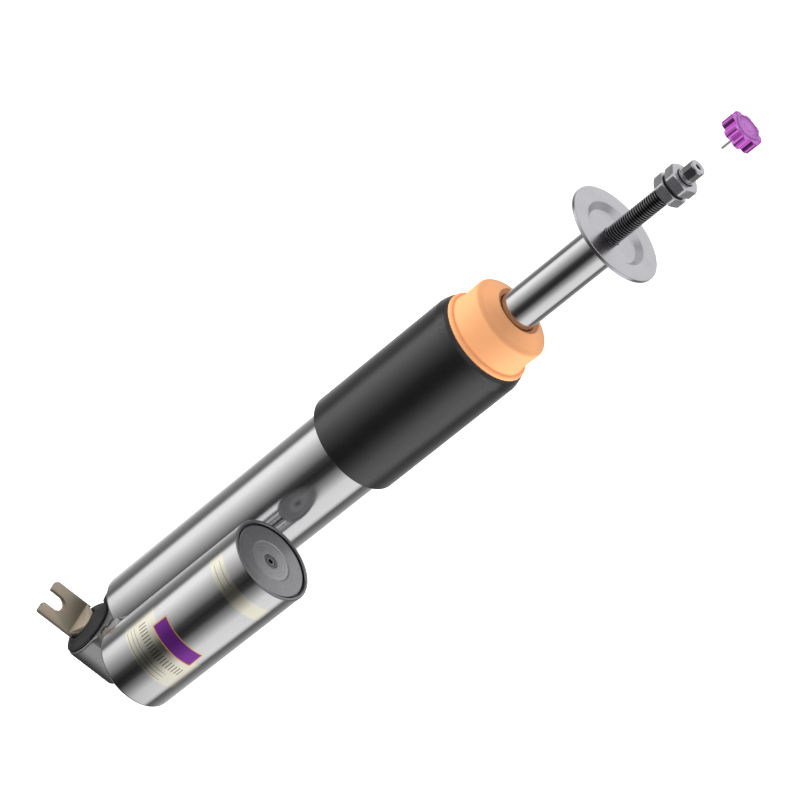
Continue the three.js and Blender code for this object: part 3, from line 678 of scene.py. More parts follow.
def turned(name, outline, steps=128, x=0.0, along_y=False):
    """Turns an outline about the vertical line at x, or about the Y axis."""
    bm = bmesh.new()
    rings = []
    for step in range(steps):
        cos, sin = math.cos(FULL_TURN * step / steps), math.sin(FULL_TURN * step / steps)
        ring = []
        for radius, height in outline:
            point = (radius * cos, height, radius * sin)
            if not along_y:
                point = (x + radius * cos, radius * sin, height)
            ring.append(bm.verts.new(Vector(point) * MM))
        rings.append(ring)
    count = len(outline)
    spans = count if outline[0][0] > 0 else count - 1
    for step, ring in enumerate(rings):
        following = rings[(step + 1) % steps]
        for low in range(spans):
            high = (low + 1) % count
            bm.faces.new((ring[low], following[low], following[high], ring[high]))
    return new_object(name, bm)


def bar(name, radius, low, high, **placing):
    """A plain round bar on an axis, for joining or cutting."""
    outline = rounded((0, low), (radius, low), (radius, high), (0, high), closed=False)
    return turned(name, outline, **placing)


def stacked(name, outline, layers):
    """Stacks copies of a flat outline, each (height, inset), and closes both ends."""
    bm = bmesh.new()
    rings = []
    for height, inset in layers:
        ring = []
        for point in outline:
            inward = point - point.normalized() * inset
            ring.append(bm.verts.new(Vector((inward.x, inward.y, height)) * MM))
        rings.append(ring)
    count = len(outline)
    for low, high in zip(rings, rings[1:]):
        for here in range(count):
            there = (here + 1) % count
            bm.faces.new((low[here], low[there], high[there], high[here]))
    bm.faces.new(rings[0])
    bm.faces.new(rings[-1])
    return new_object(name, bm)


def hull(name, points):
    """The convex skin of points in millimetres."""
    bm = bmesh.new()
    for point in points:
        bm.verts.new(Vector(point) * MM)
    made = bmesh.ops.convex_hull(bm, input=bm.verts)
    loose = [item for item in made["geom_interior"] if isinstance(item, bmesh.types.BMVert)]
    bmesh.ops.delete(bm, geom=loose, context="VERTS")
    return new_object(name, bm)


def block(name, low, high):
    """A box between two corners in millimetres, for cutting."""
    corners = [
        (x, y, z) for x in (low[0], high[0]) for y in (low[1], high[1]) for z in (low[2], high[2])
    ]
    return hull(name, corners)


def circle(x, y, z, radius, steps=64):
    """Points round a level circle."""
    turns = [FULL_TURN * step / steps for step in range(steps)]
    return [(x + radius * math.cos(turn), y + radius * math.sin(turn), z) for turn in turns]


def settled(made):
    """Applies every modifier on an object."""
    graph = bpy.context.evaluated_depsgraph_get()
    mesh = bpy.data.meshes.new_from_object(made.evaluated_get(graph))
    made.modifiers.clear()
    mesh.name = made.name
    made.data = mesh
    return made


def carved(made, operation, *tools):
    """Joins, cuts or trims an object with tools, which are used up."""
    for tool in tools:
        modifier = made.modifiers.new("carve", "BOOLEAN")
        modifier.operation = operation
        modifier.solver = "EXACT"
        modifier.object = tool
    settled(made)
    for tool in tools:
        bpy.data.objects.remove(tool)
    return made


def with_soft_edges(made, width, limit=CREASE, segments=3):
    """Rounds the edges of an object that are sharper than limit."""
    modifier = made.modifiers.new("edges", "BEVEL")
    modifier.width = width
    modifier.segments = segments
    modifier.limit_method = "ANGLE"
    modifier.angle_limit = limit
    modifier.harden_normals = False
    return settled(made)


def reshaded(made, crease=CREASE):
    """Shades an object smooth but for its sharp edges, after its mesh has changed."""
    bm = bmesh.new()
    bm.from_mesh(made.data)
    creased(bm, crease)
    bm.to_mesh(made.data)
    bm.free()
    return made


def join_up(made, body, slot, *nodes, look=None):
    """Gives a piece its material and body, and says which CAD nodes it stands for."""
    made.data.materials.clear()
    made.data.materials.append(finish(look or slot))
    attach(made, body)
    if nodes:
        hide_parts(*nodes)
    return made


# ---- lower casting and its adjusters --------------------------------------------------------

EYE_R = 17.5
EYE_HALF = 13.0
EYE_FAR = 17.2
CAST_HALF = 12.6
EYE_BORE_R = 14.3
PASSAGE_R = 3.4
SPIGOT_PLAY = 0.4
SCREW_POCKET = 0.35
# The near-black ring round each adjuster screw is painted shade, standing in for the dark gap
# round its head.
SHADE_RING_WIDTH = 0.75
SHADE_RING_RISE = 0.7  # how far the ring round each screw stands out of the recess
POCKET_FLOOR = -5.0
SCREW_SLOT = 0.9
SLOT_DEPTH = 1.9
PAD_LAYERS = ((9, -8.2), (15, -5), (21, -1.2), (22.4, 0))  # radius and drop of each
SCREWS = {"high_speed_adjuster": 0.5, "low_speed_adjuster": -0.9}  # angle of each slot
SCREW_BODIES = {
    "high_speed_adjuster": "high_speed_screw",
    "low_speed_adjuster": "low_speed_screw",
}


def casting_blank():
    """The eye, the neck under the damper tube and the arm under the reservoir, joined."""
    neck_top = TUBE.bottom - 0.3
    pad_top = RESERVOIR.bottom - 0.3
    eye = turned(
        "valve_block_casting",
        rounded(
            (0, -EYE_HALF), (EYE_R, -EYE_HALF, 1.0), (EYE_R, EYE_FAR, 1.8), (0, EYE_FAR),
            closed=False,
        ),
        along_y=True,
    )
    side = CAST_HALF
    foot = [(x, y, z) for x in (-15.5, 15.5) for y in (-side, side) for z in (4, 8)]
    neck_rim = circle(0, 0, neck_top, TUBE.radius - 2.6)
    neck = hull("neck", foot + circle(0, 0, neck_top - 2.4, TUBE.radius - 2.1) + neck_rim)
    root = [(x, y, z) for x in (4, 15) for y in (-side, side) for z in (12, neck_top)]
    pad = []
    for radius, drop in PAD_LAYERS:
        pad += circle(RESERVOIR.x, 0, pad_top + drop, radius)
    arm = hull("arm", root + pad)
    clearance = bar("tube_clearance", TUBE.radius + 0.5, neck_top, pad_top + 1)
    carved(arm, "DIFFERENCE", clearance)
    spigots = []
    for x, bottom, radius, top in (
        (0.0, neck_top, TUBE.radius - 2, TUBE.bottom + 12),
        (RESERVOIR.x, pad_top, RESERVOIR.radius - 1.9, RESERVOIR.bottom + 9),
    ):
        spigots.append(bar("spigot", radius - SPIGOT_PLAY, bottom - 1, top, x=x))
    return carved(eye, "UNION", neck, arm, *spigots)


def screw_centre(node):
    """The middle of a piece of the CAD, in millimetres."""
    low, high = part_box(node)
    return (low + high) / 2 / MM


def casting_cutters():
    """The eye's bore, the reliefs round its bush, the adjuster recess and the screw pockets."""
    recess_y = -EYE_HALF
    neck_top = TUBE.bottom - 0.3
    reach = TUBE.radius + 1
    cutters = []
    for radius, low, high in (
        (EYE_BORE_R, -EYE_HALF - 1, EYE_FAR + 1),
        (BUSH.radius + 0.7, -reach, -EYE_HALF),
    ):
        cutters.append(bar("bore", radius, low, high, along_y=True))
    cutters.append(block("recess", (-6, -reach, 6), (25, recess_y, neck_top + 1)))
    for node in SCREWS:
        centre = screw_centre(node)
        radius = Extent(node).radius + SCREW_POCKET
        drill = bar("pocket", radius, recess_y - 1, POCKET_FLOOR, steps=48, along_y=True)
        drill.data.transform(Matrix.Translation((centre.x * MM, 0, centre.z * MM)))
        cutters.append(drill)
    for x, low, high in (
        (0.0, 20.0, TUBE.bottom + 13),
        (RESERVOIR.x, RESERVOIR.bottom - 5, RESERVOIR.bottom + 10),
    ):
        cutters.append(bar("passage", PASSAGE_R, low, high, steps=32, x=x))
    return cutters


def make_casting(sizes):
    """Cuts the blank, then rounds every edge as a casting's are."""
    casting = carved(casting_blank(), "DIFFERENCE", *casting_cutters())
    cells = casting.modifiers.new("cells", "REMESH")
    cells.mode = "VOXEL"
    cells.voxel_size = sizes.casting_grain
    cells.use_smooth_shade = True
    ease = casting.modifiers.new("ease", "SMOOTH")
    ease.factor = 0.5
    ease.iterations = 4
    settled(casting)
    for polygon in casting.data.polygons:
        polygon.use_smooth = True
    return join_up(casting, "damper", "cast_alloy", "valve_block")


def make_screw(node, slot_turn):
    """A slotted screw with its head at the adjuster face."""
    size = Extent(node)
    head, tail = size.low.y, size.high.y
    radius = size.radius
    outline = rounded(
        (0, head), (radius, head, 0.35), (radius, tail, 0.2), (0, tail), closed=False, steps=3
    )
    screw = turned(node + "_screw", outline, 48, along_y=True)
    slot = block(
        "slot",
        (-radius - 1, head - 1, -SCREW_SLOT / 2),
        (radius + 1, head + SLOT_DEPTH, SCREW_SLOT / 2),
    )
    slot.data.transform(Matrix.Rotation(slot_turn, 4, "Y"))
    carved(screw, "DIFFERENCE", slot)
    centre = screw_centre(node)
    screw.data.transform(Matrix.Translation((centre.x * MM, 0, centre.z * MM)))
    return join_up(reshaded(screw), SCREW_BODIES[node], "zinc_plate", node)


def make_screw_shade_ring(node):
    """A near-black ring in the recess round the head of a screw: painted shade that stands in for
    the dark gap round it.
    """
    inner = Extent(node).radius + 0.1
    outer = inner + SHADE_RING_WIDTH
    face = -EYE_HALF
    outline = rounded(
        (inner, face + 0.3), (inner, face - SHADE_RING_RISE, 0.3), (outer, face - SHADE_RING_RISE, 0.5),
        (outer, face + 0.3), steps=4,
    )
    shade_ring = turned(node + "_seal", outline, 48, along_y=True)
    centre = screw_centre(node)
    shade_ring.data.transform(Matrix.Translation((centre.x * MM, 0, centre.z * MM)))
    return join_up(shade_ring, "damper", "seal_rubber")


# ---- lower eye ------------------------------------------------------------------------------

PIN_R = 8.0
COLLAR_R = 9.0
COLLAR_Y = 18.6
PLATE_Y = 22.0
PLATE_W = 20.5
PLATE_T = 5.0
SLOT_W = 8.2
SLOT_Y = 31.8
PLATE_TURN = math.radians(35)


def make_bush():
    """A rubber bush: a stepped flange at one end, and a plain rounded one at the other."""
    tip = BUSH.high.y
    outline = rounded(
        (10.3, 1.3 - tip), (9.6, 1.3 - tip), (9.6, -tip, 0.5), (11.2, -tip, 0.6),
        (13.1, 1.5 - tip, 0.5), (13.9, 1.3 - tip, 0.4), (BUSH.radius, 3.0 - tip, 0.9),
        (BUSH.radius, 4.2 - tip, 0.4), (14.0, 4.2 - tip), (14.0, tip, 0.9),
        (9.6, tip, 0.5), (9.6, tip - 1.3), (10.3, tip - 1.3),
    )
    bush = turned("lower_bush_rubber", outline, 96, along_y=True)
    return join_up(bush, "damper", "bush_rubber", "lower_bush")


def fork_outline():
    """One forked plate, open at its far end, as (across, along) points."""
    across = PLATE_W / 2
    slot = SLOT_W / 2
    end = PIN.high.y
    outline = [Vector((-across, COLLAR_Y + 1))]
    outline += rounded(
        (-across, COLLAR_Y + 1), (-across, end, 1.4), (-slot, end, 0.6), (-slot, SLOT_Y),
        closed=False, steps=4,
    )[1:-1]
    for step in range(17):
        turn = math.pi + math.pi * step / 16
        outline.append(Vector((slot * math.cos(turn), SLOT_Y + slot + slot * math.sin(turn))))
    outline += rounded(
        (slot, SLOT_Y), (slot, end, 0.6), (across, end, 1.4), (across, COLLAR_Y + 1),
        closed=False, steps=4,
    )[1:]
    return outline


def fork_plate(edge):
    """The plate with its stamped edges rounded."""
    bm = bmesh.new()
    faces = []
    for level in (-PLATE_T / 2, PLATE_T / 2):
        corners = [bm.verts.new(Vector((p.x, p.y, level)) * MM) for p in fork_outline()]
        faces.append(corners)
    bottom, top = faces
    for here in range(len(bottom)):
        there = (here + 1) % len(bottom)
        bm.faces.new((bottom[here], bottom[there], top[there], top[here]))
    rims = [bm.faces.new(bottom), bm.faces.new(top)]
    edges = [one for face in rims for one in face.edges]
    bmesh.ops.bevel(bm, geom=edges, offset=edge, segments=3, profile=0.5, affect="EDGES")
    return new_object("fork_plate", bm)


def pin_shoulder():
    """The steep shoulder from the round collar down to the flat plate."""
    round_end = [(p[0], COLLAR_Y, p[1]) for p in circle(0, 0, 0, COLLAR_R)]
    flat_end = [
        (x * (PLATE_W / 2 - 0.45), PLATE_Y + 0.4, z * (PLATE_T / 2 - 0.02))
        for x in (-1, 1)
        for z in (-1, 1)
    ]
    return hull("shoulder", round_end + flat_end)


def make_bar_pin(sizes):
    """A round middle between two forked plates, turned a little about its own axis."""
    step = BUSH.high.y - 1.0
    middle = turned(
        "bar_pin_steel",
        rounded(
            (0, -COLLAR_Y), (COLLAR_R, -COLLAR_Y), (COLLAR_R, -step), (PIN_R, -step),
            (PIN_R, step), (COLLAR_R, step), (COLLAR_R, COLLAR_Y), (0, COLLAR_Y),
            closed=False,
        ),
        64,
        along_y=True,
    )
    ends = []
    for turn in (0, math.pi):
        for part in (fork_plate(sizes.plate_edge), pin_shoulder()):
            part.data.transform(Matrix.Rotation(turn, 4, "Z"))
            ends.append(part)
    carved(middle, "UNION", *ends)
    middle.data.transform(Matrix.Rotation(PLATE_TURN, 4, "Y"))
    return join_up(reshaded(middle), "bar_pin", "yellow_zinc", "bar_pin")


# ---- damper tube, dust tube and bump stop ---------------------------------------------------


def make_damper_tube(sizes):
    """The plain steel tube, with its lower edge rounded."""
    bore = TUBE.radius - 2
    outline = rounded(
        (bore, TUBE.bottom), (TUBE.radius, TUBE.bottom, sizes.tube_edge / MM),
        (TUBE.radius, TUBE.top, 0.8), (bore, TUBE.top),
    )
    tube = turned("damper_tube_steel", outline, 160)
    return join_up(tube, "damper", "polished_steel", "damper_tube")


def make_dust_tube():
    """A tube that draws in to a round-edged mouth."""
    bore = DUST.radius - 2
    mouth = 26.6
    shoulder = DUST.top - 6.3
    outline = rounded(
        (bore, DUST.bottom, 0.4), (DUST.radius, DUST.bottom, 0.8),
        (DUST.radius, shoulder, 9.0), (DUST.radius - 1.2, shoulder + 4.3, 3.0),
        (mouth + 0.3, DUST.top - 0.2, 0.15), (mouth, DUST.top - 0.4), (mouth, DUST.top - 3),
        (bore, shoulder - 1),
    )
    tube = turned("dust_tube_shell", outline, 160)
    return join_up(tube, "damper", "black_tube", "dust_tube")


def make_bump_stop():
    """A foam cone with a lip in the tube's mouth and two waists inside the tube."""
    bore = ROD.radius + 0.7
    lip = STOP.radius
    foot, top = STOP.bottom, STOP.top
    outline = rounded(
        (bore, foot), (21.2, foot, 2.5), (21.5, foot + 11, 3.5), (17.5, foot + 15, 2.0),
        (23.5, foot + 20, 2.0), (23.5, foot + 28, 2.0), (19.0, foot + 33, 2.0),
        (25.0, foot + 39, 2.0), (lip, foot + 44, 2.0), (lip, DUST.top - 0.1),
        (lip + 0.7, DUST.top + 0.3, 0.3), (lip + 0.6, DUST.top + 1.6, 0.6),
        (lip - 0.4, DUST.top + 2.3, 0.4), (24.5, DUST.top + 2.4, 0.7), (24.0, DUST.top + 7.0, 9.0),
        (24.3, top - 6.2, 1.8), (21.2, top - 4.6, 2.0), (13.9, top, 0.5), (12.8, top - 0.9, 0.4),
        (bore, top - 1.5),
        steps=7,
    )
    stop = turned("bump_stop_foam", outline, 160)
    join_up(stop, "damper", "stop_foam", "bump_stop")
    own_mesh(stop)
    return stop


# ---- reservoir ------------------------------------------------------------------------------


def make_reservoir_tube(sizes):
    """The reservoir's tube, grooved inside its mouth for the circlip."""
    bore = RESERVOIR.radius - 1.9
    groove = CIRCLIP.radius + 0.3
    outline = rounded(
        (bore, RESERVOIR.bottom), (RESERVOIR.radius, RESERVOIR.bottom, sizes.tube_edge / MM),
        (RESERVOIR.radius, RESERVOIR.top, 0.75), (bore + 0.35, RESERVOIR.top, 0.3),
        (bore, RESERVOIR.top - 0.7, 0.2), (bore, CIRCLIP.top + 0.3), (groove, CIRCLIP.top + 0.3),
        (groove, CIRCLIP.bottom - 0.3), (bore, CIRCLIP.bottom - 0.3),
    )
    tube = turned("reservoir_tube_steel", outline, 160, RESERVOIR.x)
    return join_up(tube, "damper", "polished_steel", "reservoir_tube", look="reservoir_steel")


CAP_FACE_R = 21.9
CAP_RECESS_R = 12.0
CAP_GROOVES = (9.4, 7.6)
GROOVE_DEPTH = 0.14


def make_cap():
    """A turned cap: a stepped face with two fine grooves round the valve."""
    face = CAP.top
    floor = face - 0.4
    valve_bore = VALVE.radius + 0.35
    ledge = CIRCLIP.bottom - 0.3
    neck = CAP_FACE_R - 0.8
    corners = [
        (valve_bore, CAP.bottom), (CAP.radius, CAP.bottom, 0.5), (CAP.radius, ledge),
        (neck, ledge), (neck, face - 1.6), (CAP_FACE_R, face - 1.2, 0.1),
        (CAP_FACE_R, face - 0.1, 0.35), (CAP_FACE_R - 0.9, face, 0.2),
        (CAP_RECESS_R + 0.5, face, 0.2), (CAP_RECESS_R, floor, 0.2),
    ]
    for groove in CAP_GROOVES:
        corners += [
            (groove + 0.3, floor), (groove + 0.15, floor - GROOVE_DEPTH),
            (groove - 0.15, floor - GROOVE_DEPTH), (groove - 0.3, floor),
        ]
    corners.append((valve_bore, floor, 0.12))
    cap = turned("reservoir_cap_face", rounded(*corners), 160, RESERVOIR.x)
    return join_up(cap, "damper", "turned_aluminium", "reservoir_cap", look="reservoir_turned")


CIRCLIP_GAP = math.radians(24)


def make_circlip():
    """A round-cornered snap ring with a gap at its back."""
    inner = CAP_FACE_R - 0.5
    section = rounded(
        (inner, CIRCLIP.bottom, 0.3), (CIRCLIP.radius, CIRCLIP.bottom, 0.3),
        (CIRCLIP.radius, CIRCLIP.top, 0.4), (inner, CIRCLIP.top, 0.4), steps=3,
    )
    bm = bmesh.new()
    slices = []
    for step in range(121):
        turn = CIRCLIP_GAP / 2 + (FULL_TURN - CIRCLIP_GAP) * step / 120
        cos, sin = math.cos(turn), math.sin(turn)
        points = [(RESERVOIR.x + p.x * cos, p.x * sin, p.y) for p in section]
        slices.append([bm.verts.new(Vector(point) * MM) for point in points])
    for near, far in zip(slices, slices[1:]):
        for here in range(len(section)):
            there = (here + 1) % len(section)
            bm.faces.new((near[here], far[here], far[there], near[there]))
    bm.faces.new(slices[0])
    bm.faces.new(slices[-1])
    ring = new_object("cap_circlip_ring", bm)
    return join_up(ring, "damper", "dark_steel", "cap_circlip")


def make_gas_valve():
    """A charging valve: a raised lip round a dished face with a small hole."""
    top = VALVE.top
    radius = VALVE.radius
    outline = rounded(
        (0, VALVE.bottom), (3.2, VALVE.bottom), (radius, VALVE.bottom + 1), (radius, top, 0.25),
        (3.3, top, 0.15), (3.1, top - 0.7, 0.1), (2.75, top - 0.7, 0.1), (2.6, top, 0.15),
        (1.5, top, 0.15), (1.3, top - 3.5), (0, top - 3.5),
        closed=False, steps=3,
    )
    valve = turned("gas_valve_body", outline, 64, RESERVOIR.x)
    return join_up(valve, "damper", "spring_steel", "gas_valve")


# ---- rod, washer and nuts -------------------------------------------------------------------

THREAD_R = 4.95
STUD_TOP = 455.4
TIP_R = 4.55
TIP_FOOT_R = 4.9
TIP_FLAT = 3.95
TIP_TURN = math.radians(-22)
KEY_BORE_R = 1.5
NEEDLE_BORE_R = 2.4
THREAD_ROWS = 8
THREAD_COLUMNS = 64


def make_shaft():
    """The ground rod, from its spigot to the shoulder under the washer."""
    bore = NEEDLE_BORE_R
    spigot = 7.0
    shoulder = Extent("bump_shims").top + 0.3
    seat = WASHER.bottom - 0.3
    outline = rounded(
        (bore, ROD.bottom), (spigot, ROD.bottom, 0.5), (spigot, shoulder),
        (ROD.radius, shoulder, 0.5), (ROD.radius, seat, 0.7), (4.0, seat), (4.0, seat + 1),
        (bore, seat + 1),
    )
    shaft = turned("piston_rod_shaft", outline, 128)
    return join_up(shaft, "rod", "polished_steel", "piston_rod")


def thread_profile(row, depth):
    """Radius at one of the rows of a turn: a flat root, a flank, a narrow crest, a flank."""
    heights = (0.0, 0.0, 0.5, 1.0, 1.0, 0.5, 0.0, 0.0)
    return THREAD_R - depth + depth * heights[row % THREAD_ROWS]


def make_thread(sizes):
    """A rolled thread whose rows follow the helix."""
    pitch = sizes.thread_pitch / MM
    depth = sizes.thread_depth / MM
    start = WASHER.bottom + 0.4
    rows = math.ceil((STUD_TOP - start) / pitch * THREAD_ROWS)
    bm = bmesh.new()
    grid = {}
    for row in range(-THREAD_ROWS, rows + 1):
        for column in range(THREAD_COLUMNS):
            height = start + (row / THREAD_ROWS + column / THREAD_COLUMNS) * pitch
            ending = max(0.0, height - STUD_TOP + 1.2)
            radius = min(thread_profile(row, depth), THREAD_R - 0.4 * ending)
            turn = FULL_TURN * column / THREAD_COLUMNS
            height = min(max(height, start), STUD_TOP)
            point = (radius * math.cos(turn), radius * math.sin(turn), height)
            grid[row, column] = bm.verts.new(Vector(point) * MM)
    for row in range(-THREAD_ROWS, rows):
        for column in range(THREAD_COLUMNS):
            shift = 0 if column + 1 < THREAD_COLUMNS else THREAD_ROWS
            across = (column + 1) % THREAD_COLUMNS
            corners = (
                (row, column), (row + shift, across), (row + 1 + shift, across), (row + 1, column)
            )
            if all(corner in grid for corner in corners):
                bm.faces.new([grid[corner] for corner in corners])
    bmesh.ops.remove_doubles(bm, verts=bm.verts, dist=1e-6)
    rims = [edge for edge in bm.edges if edge.is_boundary]
    bmesh.ops.holes_fill(bm, edges=rims, sides=0)
    thread = new_object("rod_stud_thread", bm)
    step = Extent("rebound_needle").top + 1.2
    drill = rounded(
        (0, start - 1), (NEEDLE_BORE_R, start - 1), (NEEDLE_BORE_R, step - 0.6),
        (KEY_BORE_R, step - 0.6), (KEY_BORE_R, STUD_TOP + 1), (0, STUD_TOP + 1), closed=False,
    )
    carved(thread, "DIFFERENCE", turned("drill", drill, 32))
    reshaded(thread, FACET_CREASE)
    return join_up(thread, "rod", "polished_steel", look="thread_steel")


def make_tip():
    """The stud's tip: a neck, six wrench flats, and a collar with the key's bore."""
    neck = STUD_TOP - 0.4
    top = ROD.top
    outline = rounded(
        (KEY_BORE_R, neck), (3.9, neck), (3.9, neck + 0.5), (TIP_FOOT_R, neck + 0.6, 0.1),
        (TIP_FOOT_R, neck + 1.3, 0.1), (4.2, neck + 1.4), (4.2, neck + 1.7),
        (TIP_R, neck + 1.8, 0.1), (TIP_R, top, 0.6), (2.0, top, 0.1),
        (KEY_BORE_R, top - 0.5, 0.1),
    )
    tip = turned("rod_stud_tip", outline, 96)
    cutters = []
    for side in range(6):
        cutter = block("flat", (TIP_FLAT, -8, neck + 2.2), (8, 8, top - 1.0))
        spin = TIP_TURN + FULL_TURN * side / 6
        cutter.data.transform(Matrix.Rotation(spin, 4, "Z"))
        cutters.append(cutter)
    carved(tip, "DIFFERENCE", *cutters)
    with_soft_edges(tip, 0.0003, BEVEL_FROM)
    return join_up(reshaded(tip, FACET_CREASE), "rod", "polished_steel", look="zinc_plate")


def make_washer():
    """A dished washer with a rounded rim."""
    low, top = WASHER.bottom, WASHER.top
    rise = 3.0
    sheet = top - low - rise
    bore = THREAD_R + 0.25
    outline = rounded(
        (bore, low, 0.3), (15.4, low, 1.4), (18.9, low + rise, 1.2),
        (WASHER.radius, low + rise, 0.4), (WASHER.radius, top, 0.4), (19.5, top, 1.4),
        (16.2, low + sheet, 0.7), (bore, low + sheet, 0.3),
        steps=6,
    )
    washer = turned("support_washer_plate", outline, 160)
    return join_up(washer, "rod", "zinc_plate", "support_washer")


NUT_FLATS = 17.0
NUT_CORNER = 1.9
NUT_TURN = math.radians(8)


def make_nut(node):
    """A hexagon with rounded corners, trimmed by a cone at each end and countersunk."""
    size = Extent(node)
    low, high = size.bottom, size.top
    corner = NUT_FLATS / math.sqrt(3)
    inset = NUT_FLATS / 2 - 0.2
    drop = (corner - inset) * 0.55
    bore = THREAD_R + 0.2
    turns = [FULL_TURN * side / 6 for side in range(6)]
    corners = [(corner * math.cos(t), corner * math.sin(t), NUT_CORNER) for t in turns]
    hexagon = rounded(*corners, steps=4)
    nut = stacked(node + "_hex", hexagon, ((low, 0), (high, 0)))
    outline = rounded(
        (bore, low + 0.4), (bore + 0.4, low), (inset, low, 0.3), (corner + 0.2, low + drop),
        (corner + 0.2, high - drop), (inset, high, 0.3), (bore + 0.4, high), (bore, high - 0.4),
        steps=3,
    )
    carved(nut, "INTERSECT", turned("cone", outline, 96))
    nut.data.transform(Matrix.Rotation(NUT_TURN, 4, "Z"))
    with_soft_edges(nut, 0.0002, BEVEL_FROM)
    return join_up(reshaded(nut, FACET_CREASE), "rod", "zinc_plate", node, look="nut_zinc")


def make_lock_ring():
    """A thin ring between the nuts, crowned at its rim."""
    low, high = LOCK_RING.bottom, LOCK_RING.top
    bore = THREAD_R + 0.2
    middle = (low + high) / 2
    outline = rounded(
        (bore, low), (LOCK_RING.radius - 0.4, low, 0.2), (LOCK_RING.radius, middle, 0.3),
        (LOCK_RING.radius - 0.4, high, 0.2), (bore, high), steps=3,
    )
    ring = turned("lock_washer_ring", outline, 96)
    return join_up(ring, "rod", "dark_steel", "lock_washer")


# ---- adjuster knob --------------------------------------------------------------------------

KNOB_VALLEY = 2.0
VALLEY_SHARE = 0.72  # of the way from the middle of a valley to the middle of a lobe
LOBE_STEPS = 24
FACE_RING_R = 6.9
TICK_LENGTH = 1.7


def knob_outline(lobes):
    """Broad lobes parted by rounded valleys."""
    outline = []
    steps = lobes * LOBE_STEPS
    for step in range(steps):
        turn = FULL_TURN * step / steps
        off_valley = abs((step / LOBE_STEPS) % 1 - 0.5) * 2
        rise = min(1.0, off_valley / VALLEY_SHARE)
        radius = KNOB.radius - KNOB_VALLEY * (1 - rise * rise * (3 - 2 * rise))
        outline.append(Vector((radius * math.cos(turn), radius * math.sin(turn))))
    return outline


def make_knob(sizes):
    """The lobed grip, rounded at both ends."""
    low, rim = KNOB.bottom, KNOB.top - 0.7
    layers = [(low, 0.9), (low + 0.15, 0.35), (low + 0.5, 0.0), (rim - 1.0, 0.0)]
    layers += [(rim - 0.6, 0.12), (rim - 0.25, 0.5), (rim, 1.2), (rim, 2.6)]
    grip = stacked("adjuster_knob_grip", knob_outline(sizes.knob_lobes), layers)
    return join_up(grip, "knob", "purple_anodised", "adjuster_knob")


def tick_mark(bm, turn, level):
    """Adds one raised tick, a small bar with sloped sides, to the face."""
    inner, outer = FACE_RING_R - TICK_LENGTH - 0.7, FACE_RING_R - 0.7
    spin = Matrix.Rotation(turn, 3, "Z")
    rings = []
    for height, half in ((level - 0.2, 0.26), (level + 0.14, 0.14)):
        corners = ((inner, -half), (outer, -half), (outer, half), (inner, half))
        rings.append([bm.verts.new(spin @ Vector((x, y, height)) * MM) for x, y in corners])
    low, high = rings
    for here in range(4):
        there = (here + 1) % 4
        bm.faces.new((low[here], low[there], high[there], high[here]))
    bm.faces.new(low)
    bm.faces.new(high)


def make_knob_face(sizes):
    """A ringed face set in the grip, with a tick for each click and a plain hub."""
    low, top = KNOB.top - 1.4, KNOB.top
    level = top - 0.55
    outline = rounded(
        (0, low), (FACE_RING_R + 0.9, low), (FACE_RING_R + 0.9, top - 0.6, 0.2),
        (FACE_RING_R + 0.3, top, 0.25), (FACE_RING_R - 0.3, top, 0.2),
        (FACE_RING_R - 0.6, level, 0.2), (3.0, level, 0.2), (2.6, level + 0.3, 0.2),
        (0, level + 0.4),
        closed=False, steps=3,
    )
    face = turned("adjuster_knob_face", outline, 96)
    bm = bmesh.new()
    bm.from_mesh(face.data)
    for index in range(sizes.knob_ticks):
        tick_mark(bm, FULL_TURN * index / sizes.knob_ticks, level)
    bmesh.ops.recalc_face_normals(bm, faces=bm.faces)
    bm.to_mesh(face.data)
    bm.free()
    return join_up(reshaded(face), "knob", "purple_anodised")


def make_key():
    """The thin key under the knob, chamfered at its tip."""
    outline = rounded(
        (0, KEY.bottom), (KEY.radius, KEY.bottom, 0.3), (KEY.radius, KEY.top), (0, KEY.top),
        closed=False, steps=3,
    )
    key = turned("knob_key_pin", outline, 32)
    return join_up(key, "knob", "polished_steel", "knob_key")


# ---- studio ---------------------------------------------------------------------------------

# Brightness of the light tent by azimuth in degrees: two bright panels with a soft inner
# edge and a hard outer one, dark between them, and a grey surround that brightens behind.
PANELS = (
    (-180, 0.72), (-160, 0.33), (-137, 0.16), (-127, 0.16), (-116, 1.0), (-100, 1.0),
    (-70, 0.50), (-38, 0.06), (-22, 0.02), (-8, 0.04), (12, 0.32), (36, 0.80), (72, 0.86),
    (80, 0.60), (86, 0.10), (100, 0.17), (122, 0.34), (146, 0.62), (165, 0.95), (180, 0.72),
)
OVERHEAD = (
    (-180, 0.80), (-130, 0.45), (-60, 0.28), (20, 0.28), (100, 0.45), (140, 0.80), (180, 0.80),
)
ZENITH = 0.85
UNDERFOOT = 0.2  # share of a panel's brightness that is left straight below
# Sine of the elevation at which each of them starts and is fully there.
OVERHEAD_RISE = (0.05, 0.5)
ZENITH_RISE = (0.72, 0.92)
UNDERFOOT_RISE = (-0.9, -0.6)


def light_world():
    """A tent of light: panels of its own round the sides, and a softer pattern overhead."""
    world = bpy.data.worlds.new("tent")
    world.use_nodes = True
    bpy.context.scene.world = world
    tent = Sketch(world.node_tree)
    heading = tent.node("TexCoord", None, None, "Generated")
    x, y, z = tent.split(heading)
    turn = tent.maths("ARCTAN2", y, x) / FULL_TURN + 0.5
    side, above = (
        tent.node(
            "ValToRGB", {"stops": [(at / 360 + 0.5, shade) for at, shade in pattern]}, {0: turn}
        )
        for pattern in (PANELS, OVERHEAD)
    )
    height, zenith = z.step(*OVERHEAD_RISE), z.step(*ZENITH_RISE)
    level = side * (1.0 - height) + above * height * (1.0 - zenith) + zenith * ZENITH
    level = level * (UNDERFOOT + (1.0 - UNDERFOOT) * z.step(*UNDERFOOT_RISE))
    background = world.node_tree.nodes["Background"]
    tent.join(background.inputs["Color"], (1.0, 1.0, 1.0))
    tent.join(background.inputs["Strength"], level)


